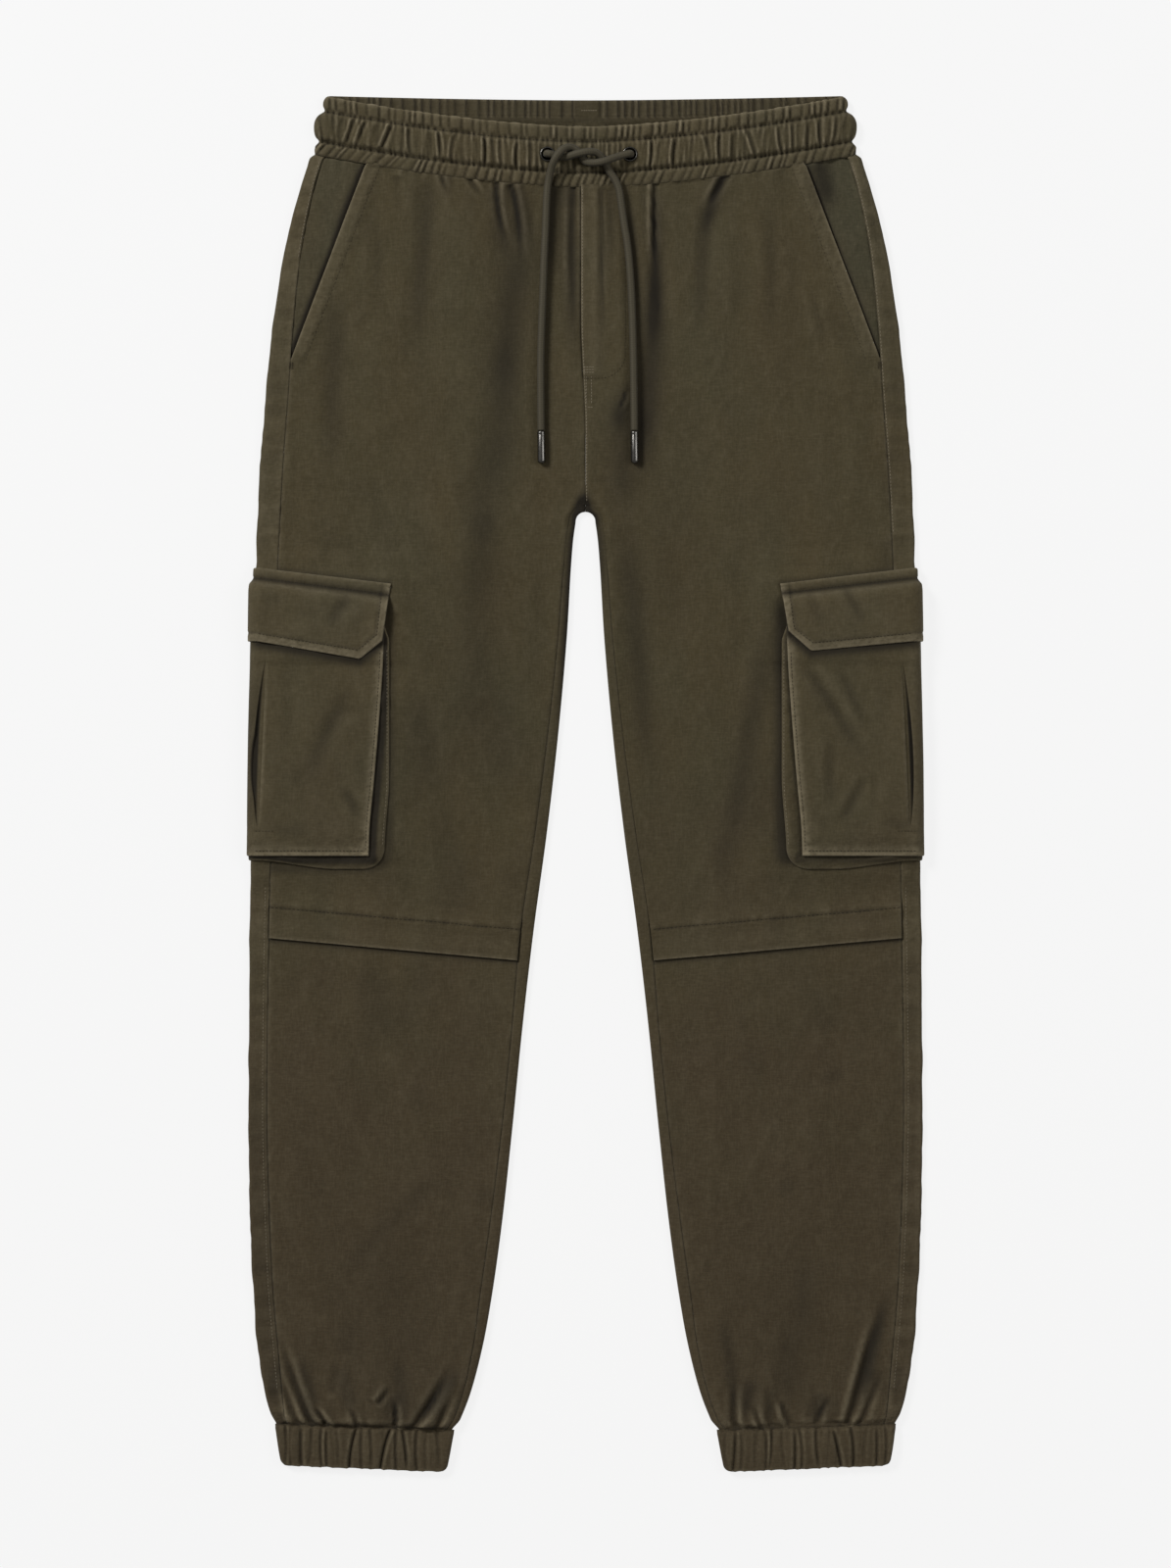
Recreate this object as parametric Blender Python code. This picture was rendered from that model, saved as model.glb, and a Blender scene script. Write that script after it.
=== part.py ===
"""Cargo trousers lying flat and face up on a table, cuffed at the hems and gathered on a drawcord waist.

Metres. +Z is up from the table, +Y runs from the hems to the waist and +X towards the wearer's left leg.
The origin is on the table, under the middle of the garment. Tables are in millimetres: "up" is the height
above the hem of the cuffs, and every "x" is a distance from the centre line, because both legs are alike.
Each panel is drawn by the points of its outer face, laid out in rows, and thickened inwards to a wall.
"""

from collections import namedtuple
from math import cos, hypot, pi, radians, sin

import bmesh
import bpy
from mathutils import Vector

MM = 0.001
LENGTH = 1026.2  # from the hem of the cuffs to the top of the back waistband
CLOTH = 1.2  # washed cotton twill
GAP = 0.3  # between two pieces of cloth that are sewn or lie together
HALF_GAP = GAP / 2
LAYER = CLOTH + GAP
BAND_WALL = 2.6  # doubled cloth with elastic inside, in the waistband and the cuffs

# The outside of one half: the folded edge, the side seam on the front, how thick the folded edge is and how
# high the front panel stands in the middle of the leg.
Outside = namedtuple("Outside", "up edge seam fold loft")
OUTSIDE = (
    Outside(33, 231.5, 223.5, 5.8, 5.8),
    Outside(56, 238.3, 225.6, 5.8, 6.4),
    Outside(93, 244.6, 229.2, 5.2, 6.2),
    Outside(129, 247.5, 232.5, 4.6, 5.6),
    Outside(184, 250.0, 235.2, 4.4, 5.0),
    Outside(257, 251.5, 237.2, 4.4, 4.8),
    Outside(330, 251.1, 236.9, 4.4, 4.8),
    Outside(403, 250.4, 235.8, 4.4, 4.8),
    Outside(476, 249.3, 234.3, 4.4, 4.8),
    Outside(549, 248.2, 232.5, 4.4, 4.8),
    Outside(622, 246.7, 230.7, 4.4, 4.8),
    Outside(677, 245.6, 229.2, 4.4, 5.0),
    Outside(750, 242.7, 225.4, 4.6, 5.2),
    Outside(804, 238.3, 221.4, 4.8, 5.4),
    Outside(859, 232.9, 217.5, 5.2, 5.8),
    Outside(914, 223.4, 211.3, 5.4, 6.2),
    Outside(958, 212.3, 202.2, 5.6, 6.4),
    Outside(982, 204.6, 195.0, 5.8, 6.2),
)

CROWN_REACH = 45.0  # the front panel reaches its full height this far in from its folded edges

# The inside of one leg below the arch of the crotch: the folded edge and the inseam on the front.
Inside = namedtuple("Inside", "up edge seam")
INSIDE = (
    Inside(31, 96.5, 101.5),
    Inside(56, 86.5, 92.0),
    Inside(93, 76.7, 83.6),
    Inside(129, 70.1, 78.8),
    Inside(184, 62.4, 71.2),
    Inside(257, 54.4, 62.1),
    Inside(330, 47.1, 54.8),
    Inside(403, 38.7, 48.4),
    Inside(476, 28.8, 37.6),
    Inside(549, 20.4, 28.1),
    Inside(622, 13.9, 20.4),
    Inside(677, 10.6, 16.0),
    Inside(695, 9.1, 14.3),
    Inside(708.1, 7.3, 12.3),
)
CROTCH = 715.4  # the top of the arch between the legs
ARCH_RADIUS = 7.3
ARCH_CENTRE = CROTCH - ARCH_RADIUS
ARCH_INSET = 5.0  # from the fold of the arch to the crotch seam above it
ARCH_STEPS = (90, 60, 30, 0)  # degrees from the top of the arch
ABOVE_ARCH = 12.0  # the first row of the back panel above it

# Seams across the garment.
WAIST_SEAM_X = 202.0
FRONT_DIP = 24.0  # the front of the waist hangs this much lower in the middle than at the sides
BACK_DIP = 3.5
DIP_POWER = 1.6
WAIST_BEND_REACH = 120.0  # rows of the panels follow the waist seam this far down
KNEE_STITCH = 420.6  # at the side seam
KNEE_HEM = 397.5
KNEE_UNDERLAP_SHORT = 2.0  # the shin panel ends this far below the stitches
KNEE_RAMP = 13.0  # above its stitches the hem comes down to the leg over this length
KNEE_TILT = 0.09
KNEE_X = 234.0
KNEE_BEND_FROM = 330.0  # the rows of the shin start to follow the knee hem here
KNEE_BEND_REACH = 60.0
CUFF_SEAM = 35.8
CUFF_TILT = 0.033
CUFF_X = 231.8
CUFF_REACH = 60.0

# Slash pocket: its open edge runs straight from the waist seam to the side seam.
OPENING_TOP = (163.4, 975.3)
OPENING_FOOT = (219.4, 829.3)
FACING_UNDERLAP = 16.0
FACING_UNDER_BACK = 3.0
FACING_FOOT = 812.0

# Cargo pocket, wrapped round the folded edge of the leg: distances up, and x of its front inner edge.
PocketRow = namedtuple("PocketRow", "up front back")
POUCH_ROWS = (
    PocketRow(460.0, 161.2, 78.0),
    PocketRow(480.0, 160.5, 79.0),
    PocketRow(512.0, 157.5, 82.0),
    PocketRow(560.0, 153.5, 85.0),
    PocketRow(604.0, 150.5, 88.0),
    PocketRow(630.0, 149.5, 89.0),
    PocketRow(656.0, 149.0, 89.5),
)
FLAP_TOP = 673.5  # at the folded edge
FLAP_FOOT = 618.5
FLAP_TILT = 0.12  # the flap drops towards its front end
FLAP_ENDS = (144.5, 151.0)  # x of the front end, at the top and where the corner is cut
FLAP_BACK_ENDS = (98.0, 92.0)
FLAP_CUT = 16.5  # the corner cut off the flap
FLAP_SEAM_OUT = 1.9
FLAP_RAMP = 10.0  # where the flap rises from its seam over the pouch
BELLOWS_WIDTH = 20.0
BELLOWS_FOOT = 449.0
BELLOWS_UPS = (640, 606, 600, 540, 490)  # rows along its straight sides, from its top
BELLOWS_FRONT = 146.0
BELLOWS_BACK = 97.0
BELLOWS_CORNER = 16.0
BELLOWS_OUT = LAYER  # how far the outer face of each layer stands off the leg
POUCH_OUT = 2 * LAYER
FLAP_OUT = 3 * LAYER
PLEAT_DEPTH = 1.2
PLEAT_EDGES = (7.0, 5.0)  # in from the folded edge
PLEAT_FOOT = 480.0
PLEAT_TOP = 604.0

# The pocket under the leg lifts the leg off the table: height of the lift against distance up.
Lift = namedtuple("Lift", "up height")
POCKET_LIFTS = (
    Lift(435.0, 0.0),
    Lift(450.0, BELLOWS_OUT),
    Lift(459.0, POUCH_OUT),
    Lift(600.0, POUCH_OUT),
    Lift(606.0, FLAP_OUT),
    Lift(663.0, FLAP_OUT),
    Lift(676.0, FLAP_SEAM_OUT),
    Lift(690.0, 0.0),
)
LIFT_REACH = 99.0  # the lift is whole this far in from the folded edge
LIFT_FADE = 34.0

# Waistband: half its width at each line along it, and how far its face bulges there.
BandLine = namedtuple("BandLine", "share half_width bulge")
BAND_LINES = (
    BandLine(0.0, 194.0, 0.0),
    BandLine(0.25, 195.4, -0.2),
    BandLine(0.5, 200.6, 1.1),
    BandLine(0.77, 199.6, -0.2),
    BandLine(1.0, 202.2, 0.0),
)
BAND_HEIGHT = 44.6
BAND_THICKNESS = 5.8
BAND_TOP = LENGTH
WAIST_SEAM = BAND_TOP - BAND_HEIGHT  # at the folded edge
BAND_PLEATS = 13  # on each face of the waistband
BAND_PLEAT_DEPTH = 0.5

# Cuff: its two ends at each line across it, from the seam down to the hem.
CuffLine = namedtuple("CuffLine", "up outer inner bulge")
CUFF_LINES = (
    CuffLine(35.4, 231.5, 97.8, 0.0),
    CuffLine(12.0, 228.4, 101.5, 0.4),
    CuffLine(0.0, 226.8, 103.5, 0.0),
)
CUFF_DROP = 4.6  # its inner end lies this much lower than its outer end
CUFF_THICKNESS = 5.8
CUFF_PLEATS = 7
CUFF_PLEAT_DEPTH = 0.5

# Hard trim on the waist.
EYELET_X = {"left": 33.1, "right": 28.3}
EYELET_UP = 981.6
EYELET_Z = 7.2
EYELET_OUTER = 5.6
EYELET_INNER = 4.3
EYELET_HEIGHT = 0.9
EYELET_HOLE = 4.0
CUT_DEPTH = 8.0
EYELET_FLAT = 12.0  # the band is smooth this far out from the eyelets
CORD_DIAMETER = 5.5
CORD_SIDES = 2
CORD_STEP = 6.0
AGLET_LENGTH = 24.0
AGLET_DIAMETER = 5.9

# Routes of the two ends of the drawcord, tied once: x, y and z of points on the cord's middle line.
LEFT_CORD = (
    (-28.3, 468.4, 11.0),
    (-25.6, 467.8, 11.9),
    (-22.4, 466.9, 11.4),
    (-18.8, 465.9, 10.8),
    (-13.4, 465.9, 12.6),
    (-8.0, 467.2, 15.1),
    (-3.0, 468.2, 16.3),
    (2.5, 469.1, 15.6),
    (8.0, 468.6, 13.0),
    (12.4, 465.0, 10.7),
    (15.0, 460.0, 10.3),
    (18.4, 454.4, 9.9),
    (22.4, 448.6, 9.7),
    (25.2, 441.0, 9.6),
    (26.8, 430.0, 9.5),
    (29.0, 415.0, 9.4),
    (31.6, 398.0, 9.3),
    (33.8, 372.0, 9.1),
    (35.0, 344.0, 8.9),
    (35.7, 316.0, 8.7),
    (36.1, 288.0, 8.6),
    (36.4, 262.4, 8.5),
)
RIGHT_CORD = (
    (33.0, 468.4, 10.5),
    (29.6, 467.6, 11.8),
    (25.2, 466.2, 12.6),
    (20.0, 464.2, 14.8),
    (14.0, 461.9, 16.9),
    (8.0, 461.0, 15.4),
    (2.5, 461.6, 12.2),
    (-1.4, 463.8, 10.3),
    (-4.4, 468.6, 10.1),
    (-8.3, 471.9, 10.3),
    (-12.5, 472.8, 12.3),
    (-16.6, 471.0, 15.4),
    (-20.2, 467.4, 17.3),
    (-23.2, 462.8, 16.2),
    (-25.6, 456.6, 12.8),
    (-27.6, 448.0, 10.1),
    (-28.9, 436.0, 9.6),
    (-29.8, 412.0, 9.4),
    (-30.8, 390.0, 9.3),
    (-31.6, 368.0, 9.1),
    (-32.6, 342.0, 8.9),
    (-33.3, 316.0, 8.7),
    (-33.3, 290.0, 8.6),
    (-33.0, 262.4, 8.5),
)

LEGS = {"left": 1, "right": -1}  # the wearer's left leg lies towards +X

Look = namedtuple("Look", "colour roughness metallic")
CLOTH_LOOK = Look((0.056, 0.045, 0.027, 1), 0.9, 0)
FACING_LOOK = Look((0.052, 0.044, 0.028, 1), 0.9, 0)
CORD_LOOK = Look((0.062, 0.054, 0.037, 1), 0.85, 0)
METAL_LOOK = Look((0.09, 0.085, 0.08, 1), 0.3, 1)


def clear_scene():
    for obj in list(bpy.data.objects):
        bpy.data.objects.remove(obj)


def smooth(t):
    t = min(max(t, 0.0), 1.0)
    return t * t * (3 - 2 * t)


def reader(rows, column):
    """A smooth curve through one column of a table, read by height."""
    ups = [row.up for row in rows]
    values = [getattr(row, column) for row in rows]
    steps = [(values[i + 1] - values[i]) / (ups[i + 1] - ups[i]) for i in range(len(rows) - 1)]
    slopes = [steps[0]] + [(a + b) / 2 for a, b in zip(steps, steps[1:])] + [steps[-1]]

    def read(up):
        up = min(max(up, ups[0]), ups[-1])
        i = max(k for k in range(len(ups) - 1) if ups[k] <= up)
        span = ups[i + 1] - ups[i]
        t = (up - ups[i]) / span
        a, b = values[i], values[i + 1]
        left, right = slopes[i] * span, slopes[i + 1] * span
        return a + left * t + (3 * (b - a) - 2 * left - right) * t**2 + (2 * (a - b) + left + right) * t**3

    return read


outer_edge = reader(OUTSIDE, "edge")
side_seam = reader(OUTSIDE, "seam")
fold_thickness = reader(OUTSIDE, "fold")
loft = reader(OUTSIDE, "loft")
inner_edge = reader(INSIDE, "edge")
inseam = reader(INSIDE, "seam")


def broken_line(rows, up):
    """The height of a table of lifts at one place, straight between its rows."""
    for low, high in zip(rows, rows[1:]):
        if low.up <= up <= high.up:
            return low.height + (high.height - low.height) * smooth((up - low.up) / (high.up - low.up))
    return 0.0


def ground(x, up):
    """How high the underside of the leg lies, over the half of the cargo pocket that is beneath it."""
    inward = outer_edge(up) - x
    return broken_line(POCKET_LIFTS, up) * (1 - smooth((inward - LIFT_REACH) / LIFT_FADE))


def from_inner_fold(x, up):
    """Distance of a place from the fold on the inside of the leg, or from the arch above it."""
    if up > ARCH_CENTRE:
        return hypot(x, up - ARCH_CENTRE) - ARCH_RADIUS
    return x - inner_edge(up)


def crown(x, up):
    """How much the front panel rises between its folded edges."""
    radius = fold_thickness(up) / 2
    rise = loft(up) - fold_thickness(up)
    outside = smooth((outer_edge(up) - radius - x) / CROWN_REACH)
    inside = smooth((from_inner_fold(x, up) - radius) / CROWN_REACH)
    return rise * outside * inside


def top_of_leg(x, up):
    return ground(x, up) + fold_thickness(up) + crown(x, up)


def place(x, up, z):
    return Vector((x * MM, (up - LENGTH / 2) * MM, z * MM))


# ---------------------------------------------------------------- the folds of one leg


ARC_ANGLES = (90, 45, 0, -45, -90)  # round the outer fold, from the front to the back


def round_outer_fold(up, zone, value, out, front=0.0, back=0.0):
    """A point round the outer fold: on the front, on the arc of the fold or on the back.

    value is a share of the way from the fold to front or back, both distances from the folded edge, or the
    angle on the arc, from 90 on the front to -90 on the back. out is how far the point stands off the cloth.
    """
    radius = fold_thickness(up) / 2
    angle = radians({"front": 90, "arc": value, "back": -90}[zone])
    if zone == "arc":
        inward = radius * (1 - cos(angle))
    else:
        inward = radius + ((front if zone == "front" else back) - radius) * value
    x = outer_edge(up) - inward
    z = ground(x, up) + radius + (radius + out) * sin(angle)
    if zone == "front":
        z += crown(x, up)
    return place(x + out * cos(angle), up, z)


def inner_fold_line(step):
    """A place on the inner folded edge and the direction from it into the cloth, from the arch to the hem."""
    kind, value = step
    if kind == "leg":
        return Vector((inner_edge(value), value)), Vector((1, 0))
    direction = Vector((sin(radians(value)), cos(radians(value))))
    return Vector((0, ARCH_CENTRE)) + direction * ARCH_RADIUS, direction


def inset_of(step):
    kind, value = step
    return ARCH_INSET if kind == "arch" else inseam(value) - inner_edge(value)


def in_from_inner_fold(step, inward):
    """Where a line at this distance inside the folded edge passes."""
    point, direction = inner_fold_line(step)
    spot = point + direction * inward
    return max(spot.x, HALF_GAP), spot.y


SHIN_UPS = (70, 93, 111, 150, 184, 257, 330)
KNEE_UPS = (381, 403, 417)  # where the rows of the knee hem reach the inseam
THIGH_UPS = (449, 459, 500, 552, 600, 606, 640, 663, 676, 690)
THIGH_STEPS = [("leg", up) for up in THIGH_UPS] + [("arch", angle) for angle in ARCH_STEPS]
INNER_STEPS = [("leg", up) for up in SHIN_UPS + KNEE_UPS] + THIGH_STEPS
WAIST_UPS = (750, 790, 828, 860, 895, 930, 960)
WAIST_GAP = 0.5  # the panels' rows are straight between their corners, and the waist seam is curved


def waist_dip(x, dip):
    return dip * (1 - (min(abs(x), WAIST_SEAM_X) / WAIST_SEAM_X) ** DIP_POWER)


def bent_up(row, x, dip):
    """The height of a row of a panel at x: rows near the waist and the cuff follow those seams."""
    waist = smooth(1 - (WAIST_SEAM - row) / WAIST_BEND_REACH)
    cuff = smooth(1 - (row - CUFF_SEAM) / CUFF_REACH)
    return row - waist_dip(x, dip) * waist - CUFF_TILT * (CUFF_X - x) * cuff


# ---------------------------------------------------------------- making solids


def make_material(name, look):
    material = bpy.data.materials.new(name)
    material.use_nodes = True
    shader = material.node_tree.nodes["Principled BSDF"]
    shader.inputs["Base Color"].default_value = look.colour
    shader.inputs["Roughness"].default_value = look.roughness
    shader.inputs["Metallic"].default_value = look.metallic
    material.diffuse_color = look.colour
    return material


def add_grid(bm, rows, columns, point):
    """A grid of faces whose corners are point(row, column), for row and column counted from zero."""
    made = bmesh.ops.create_grid(bm, x_segments=columns - 1, y_segments=rows - 1, size=1)
    for vert in made["verts"]:
        column = round((vert.co.x + 1) / 2 * (columns - 1))
        row = round((vert.co.y + 1) / 2 * (rows - 1))
        vert.co = point(row, column)


def make_object(name, bm, look, side=1):
    """An object of this mesh, mirrored for the right leg."""
    if side < 0:
        bmesh.ops.scale(bm, vec=(-1, 1, 1), verts=bm.verts)
        bmesh.ops.reverse_faces(bm, faces=bm.faces)
    mesh = bpy.data.meshes.new(name)
    bm.to_mesh(mesh)
    bm.free()
    mesh.shade_smooth()
    obj = bpy.data.objects.new(name, mesh)
    bpy.context.scene.collection.objects.link(obj)
    mesh.materials.append(make_material(name + "_finish", look))
    return obj


def sheet(name, grids, side, look=CLOTH_LOOK, wall=CLOTH):
    """A panel of cloth: grids of its outer face, joined where they meet and thickened inwards."""
    bm = bmesh.new()
    for rows, columns, point in grids:
        add_grid(bm, rows, columns, point)
    bmesh.ops.remove_doubles(bm, verts=bm.verts, dist=0.01 * MM)
    obj = make_object(name, bm, look, side)
    thick = obj.modifiers.new("wall", "SOLIDIFY")
    thick.thickness = wall * MM
    thick.offset = -1
    return obj


def ring(name, around, lines, point, side=1, look=CLOTH_LOOK):
    """A closed band: a grid round it and round its section, with its ends joined to its beginnings."""
    bm = bmesh.new()
    add_grid(bm, around + 1, lines + 1, lambda row, column: point(row % around, column % lines))
    bmesh.ops.remove_doubles(bm, verts=bm.verts, dist=0.01 * MM)
    return make_object(name, bm, look, side)


# ---------------------------------------------------------------- panels of the legs


def make_back_leg(leg, side):
    """The back panel: it lies on the table and wraps round both folds to the seams on the front."""
    rows = [(CUFF_SEAM + GAP, None)] + [(None, step) for step in INNER_STEPS]
    rows += [(up, None) for up in (CROTCH + ABOVE_ARCH, *WAIST_UPS, WAIST_SEAM - WAIST_GAP)]
    columns = [("front", 1)] + [("arc", angle) for angle in ARC_ANGLES]
    columns += [("back", stop) for stop in ("lifted", "faded", "end")]

    def inner_end(row):
        up, step = rows[row]
        if step is None:
            if up > CROTCH:
                return HALF_GAP, up
            step = ("leg", up)
        point, _ = inner_fold_line(step)
        return in_from_inner_fold(step, fold_thickness(point.y) / 2)

    def under_and_out(row, column):
        zone, value = columns[column]
        x_end, up = inner_end(row)
        seam = outer_edge(up) - side_seam(up) - HALF_GAP
        if zone == "back":
            width = outer_edge(up) - x_end
            faded = min(LIFT_REACH + LIFT_FADE, (LIFT_REACH + width) / 2)
            x = outer_edge(up) - {"lifted": LIFT_REACH, "faded": faded, "end": width}[value]
            if row == 0:
                return place(x, bent_up(up, x, 0), 0)
            return place(x, bent_up(up, x, BACK_DIP) if row > len(INNER_STEPS) else up, ground(x, up))
        spot = round_outer_fold(up, zone, value, 0, front=seam)
        if row > len(INNER_STEPS):
            dip = FRONT_DIP if zone == "front" else BACK_DIP
            spot.y -= (up - bent_up(up, spot.x / MM, dip)) * MM
        return spot

    inner_rows = [("leg", CUFF_SEAM + GAP)] + INNER_STEPS
    inner_columns = (*ARC_ANGLES[::-1], None)

    def inner_wrap(row, column):
        step = inner_rows[row]
        point, _ = inner_fold_line(step)
        radius = fold_thickness(point.y) / 2
        angle = inner_columns[column]
        if angle is None:
            inward, height = inset_of(step) - HALF_GAP, 2 * radius
        else:
            inward = radius * (1 - cos(radians(angle)))
            height = radius * (1 + sin(radians(angle)))
        x, up = in_from_inner_fold(step, inward)
        if angle == -90 and row == 0:
            return under_and_out(0, len(columns) - 1)
        up = bent_up(up, x, 0) if row == 0 else up
        return place(x, up, ground(x, up) + height + (crown(x, up) if angle is None else 0))

    grids = [
        (len(rows), len(columns), under_and_out),
        (len(inner_rows), len(inner_columns), inner_wrap),
    ]
    return sheet(f"back_leg_{leg}", grids, side)


def meeting(edge, row_up, row):
    """x where a row of a panel meets an edge that is given by height."""
    x = edge(row)
    for _ in range(4):
        x = edge(row_up(row, x))
    return x


def front_edge(up):
    """The outer edge of the front panel: the side seam, or the open edge of the slash pocket."""
    (x_top, up_top), (x_foot, up_foot) = OPENING_TOP, OPENING_FOOT
    if up < up_foot:
        return side_seam(up) - HALF_GAP
    return x_top + (x_foot - x_top) * (up_top - up) / (up_top - up_foot)


def facing_edge(up):
    return side_seam(up) + FACING_UNDER_BACK


def front_inner_edge(up):
    return HALF_GAP if up > CROTCH else inseam(up) + HALF_GAP


def waist_row(row, x):
    return bent_up(row, x, FRONT_DIP)


def knee_row(row, x):
    return row - KNEE_TILT * (KNEE_X - x)


def make_front_thigh(leg, side):
    """The front panel from the waist seam to the hem that hangs over the knee seam."""
    hem_ups = (KNEE_HEM, KNEE_STITCH + 1, KNEE_STITCH + KNEE_RAMP)
    hem_rows = hem_ups[:2]
    rows = [(knee_row, up) for up in hem_ups]
    rows += [(None, step) for step in THIGH_STEPS]
    rows += [(waist_row, up) for up in (*WAIST_UPS, WAIST_SEAM - WAIST_GAP)]
    shares = (0, 0.06, 0.22, 0.45, 0.62, 0.8, 0.93, 1)

    def point(row, column):
        row_up, value = rows[row]
        share = shares[column]
        if row_up is None:
            x_in, up = in_from_inner_fold(value, inset_of(value) + HALF_GAP)
            x = x_in + (front_edge(up) - x_in) * share
        else:
            x_in = meeting(front_inner_edge, row_up, value)
            x = x_in + (meeting(front_edge, row_up, value) - x_in) * share
            up = row_up(value, x)
        out = LAYER if row < len(hem_rows) else 0.0
        return place(x, up, top_of_leg(x, up) + out)

    return sheet(f"front_thigh_{leg}", [(len(rows), len(shares), point)], side)


def shin_row(row, x):
    return bent_up(row, x, 0) - KNEE_TILT * (KNEE_X - x) * smooth((row - KNEE_BEND_FROM) / KNEE_BEND_REACH)


def make_front_shin(leg, side):
    """The front panel from under the knee hem to the cuff."""
    rows = (CUFF_SEAM + GAP, *SHIN_UPS, KNEE_HEM, KNEE_STITCH - KNEE_UNDERLAP_SHORT)
    shares = (0, 0.06, 0.25, 0.5, 0.75, 0.94, 1)

    def point(row, column):
        x_in = meeting(front_inner_edge, shin_row, rows[row])
        x_out = meeting(front_edge, shin_row, rows[row])
        x = x_in + (x_out - x_in) * shares[column]
        up = shin_row(rows[row], x)
        return place(x, up, top_of_leg(x, up))

    return sheet(f"front_shin_{leg}", [(len(rows), len(shares), point)], side)


def make_facing(leg, side):
    """The cloth seen through the slash pocket: it lies under the front panel and under the side seam."""
    rows = (FACING_FOOT, *WAIST_UPS[2:], WAIST_SEAM - WAIST_GAP)
    shares = (0, 0.3, 0.65, 1)

    def point(row, column):
        x_in = meeting(front_edge, waist_row, rows[row]) - FACING_UNDERLAP
        x_out = meeting(facing_edge, waist_row, rows[row])
        x = x_in + (x_out - x_in) * shares[column]
        up = waist_row(rows[row], x)
        return place(x, up, top_of_leg(x, up) - LAYER)

    return sheet(f"pocket_facing_{leg}", [(len(rows), len(shares), point)], side, FACING_LOOK)


# ---------------------------------------------------------------- cargo pockets


def pleat(up):
    """How far the pouch is pushed in along the pleat in its middle, just inside the folded edge."""
    return PLEAT_DEPTH * sin(pi * smooth((up - PLEAT_FOOT) / (PLEAT_TOP - PLEAT_FOOT)))


def pocket_point(up, column, out, front, back):
    """A point of a pocket piece. The pleat is a column on the front, at a distance in from the fold."""
    zone, value = column
    if zone == "pleat":
        radius = fold_thickness(up) / 2
        share = (value - radius) / (outer_edge(up) - front - radius)
        return round_outer_fold(up, "front", share, out - pleat(up), outer_edge(up) - front)
    return round_outer_fold(up, zone, value, out, outer_edge(up) - front, back)


def make_pouch(leg, side):
    """The face of the cargo pocket, from its front edge round the fold to its back edge."""
    columns = [("front", 1), ("front", 0.55), ("front", 0.15)] + [("pleat", inward) for inward in PLEAT_EDGES]
    columns += [("arc", angle) for angle in ARC_ANGLES] + [("back", 0.5), ("back", 1)]
    front = reader(POUCH_ROWS, "front")
    back = reader(POUCH_ROWS, "back")
    rows = (POUCH_ROWS[0].up, 478, 512, 544, 575, 600, 606, POUCH_ROWS[-1].up)

    def point(row, column):
        up = rows[row]
        zone, value = columns[column]
        reach = {"front": value * (outer_edge(up) - front(up)), "back": value * back(up)}.get(zone, 0.0)
        up -= FLAP_TILT * reach * smooth((up - PLEAT_TOP) / (rows[-1] - PLEAT_TOP))
        return pocket_point(up, columns[column], POUCH_OUT, front(up), back(up))

    return sheet(f"pocket_pouch_{leg}", [(len(rows), len(columns), point)], side)


def make_flap(leg, side):
    """The flap of the cargo pocket, with its two lower corners cut off."""
    columns = [("front", 1), ("front", 0.83), ("front", 0.4)]
    columns += [("arc", angle) for angle in ARC_ANGLES]
    columns += [("back", 0.4), ("back", 0.81), ("back", 1)]
    shares = (0, 0.35, 0.7, 0.82, 1)

    def point(row, column):
        zone, value = columns[column]
        share = shares[row]
        ends = {"front": outer_edge(FLAP_TOP) - FLAP_ENDS[0], "arc": 0, "back": FLAP_BACK_ENDS[0]}
        low_ends = {"front": outer_edge(FLAP_FOOT) - FLAP_ENDS[1], "arc": 0, "back": FLAP_BACK_ENDS[1]}
        inward = value * ends[zone] if zone != "arc" else 0
        foot = FLAP_FOOT + (FLAP_CUT if zone != "arc" and value == 1 else 0)
        up = foot + (FLAP_TOP - foot) * share - FLAP_TILT * inward
        reach = low_ends[zone] + (ends[zone] - low_ends[zone]) * share
        rise = smooth((FLAP_TOP - FLAP_TILT * inward - up) / FLAP_RAMP)
        out = FLAP_SEAM_OUT + (FLAP_OUT - FLAP_SEAM_OUT) * rise
        return round_outer_fold(up, zone, value, out, reach, reach)

    return sheet(f"pocket_flap_{leg}", [(len(shares), len(columns), point)], side)


def bellows_path():
    """The outer edge of the bellows, down the front of the pocket, under it and up its back.

    Each stop is a zone with its distance in from the folded edge or its angle, a height, and the direction
    towards the middle of the pocket as steps inwards and up.
    """
    halves = []
    for zone, end in (("front", outer_edge(BELLOWS_FOOT) - BELLOWS_FRONT), ("back", BELLOWS_BACK)):
        half = [(zone, end, up, -1, 0) for up in BELLOWS_UPS]
        for angle in (15, 45, 75):
            across, along = cos(radians(angle)), sin(radians(angle))
            inward = end - BELLOWS_CORNER * (1 - across)
            half.append((zone, inward, BELLOWS_FOOT + BELLOWS_CORNER * (1 - along), -across, along))
        halves.append(half + [(zone, end / 2, BELLOWS_FOOT, 0, 1)])
    front, back = halves
    return front + [("arc", angle, BELLOWS_FOOT, 0, 1) for angle in ARC_ANGLES] + back[::-1]


def make_bellows(leg, side):
    """The gusset folded flat between the leg and the edge of the pouch."""
    stops = bellows_path()
    shares = (1, 0.5, 0)

    def point(row, column):
        zone, value, up, inwards, upwards = stops[row]
        step = shares[column] * BELLOWS_WIDTH
        up += upwards * step
        if zone == "arc":
            return round_outer_fold(up, zone, value, BELLOWS_OUT)
        inward = value + inwards * step
        return round_outer_fold(up, zone, 1, BELLOWS_OUT, inward, inward)

    return sheet(f"pocket_bellows_{leg}", [(len(stops), len(shares), point)], side)


# ---------------------------------------------------------------- waistband and cuffs


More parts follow.
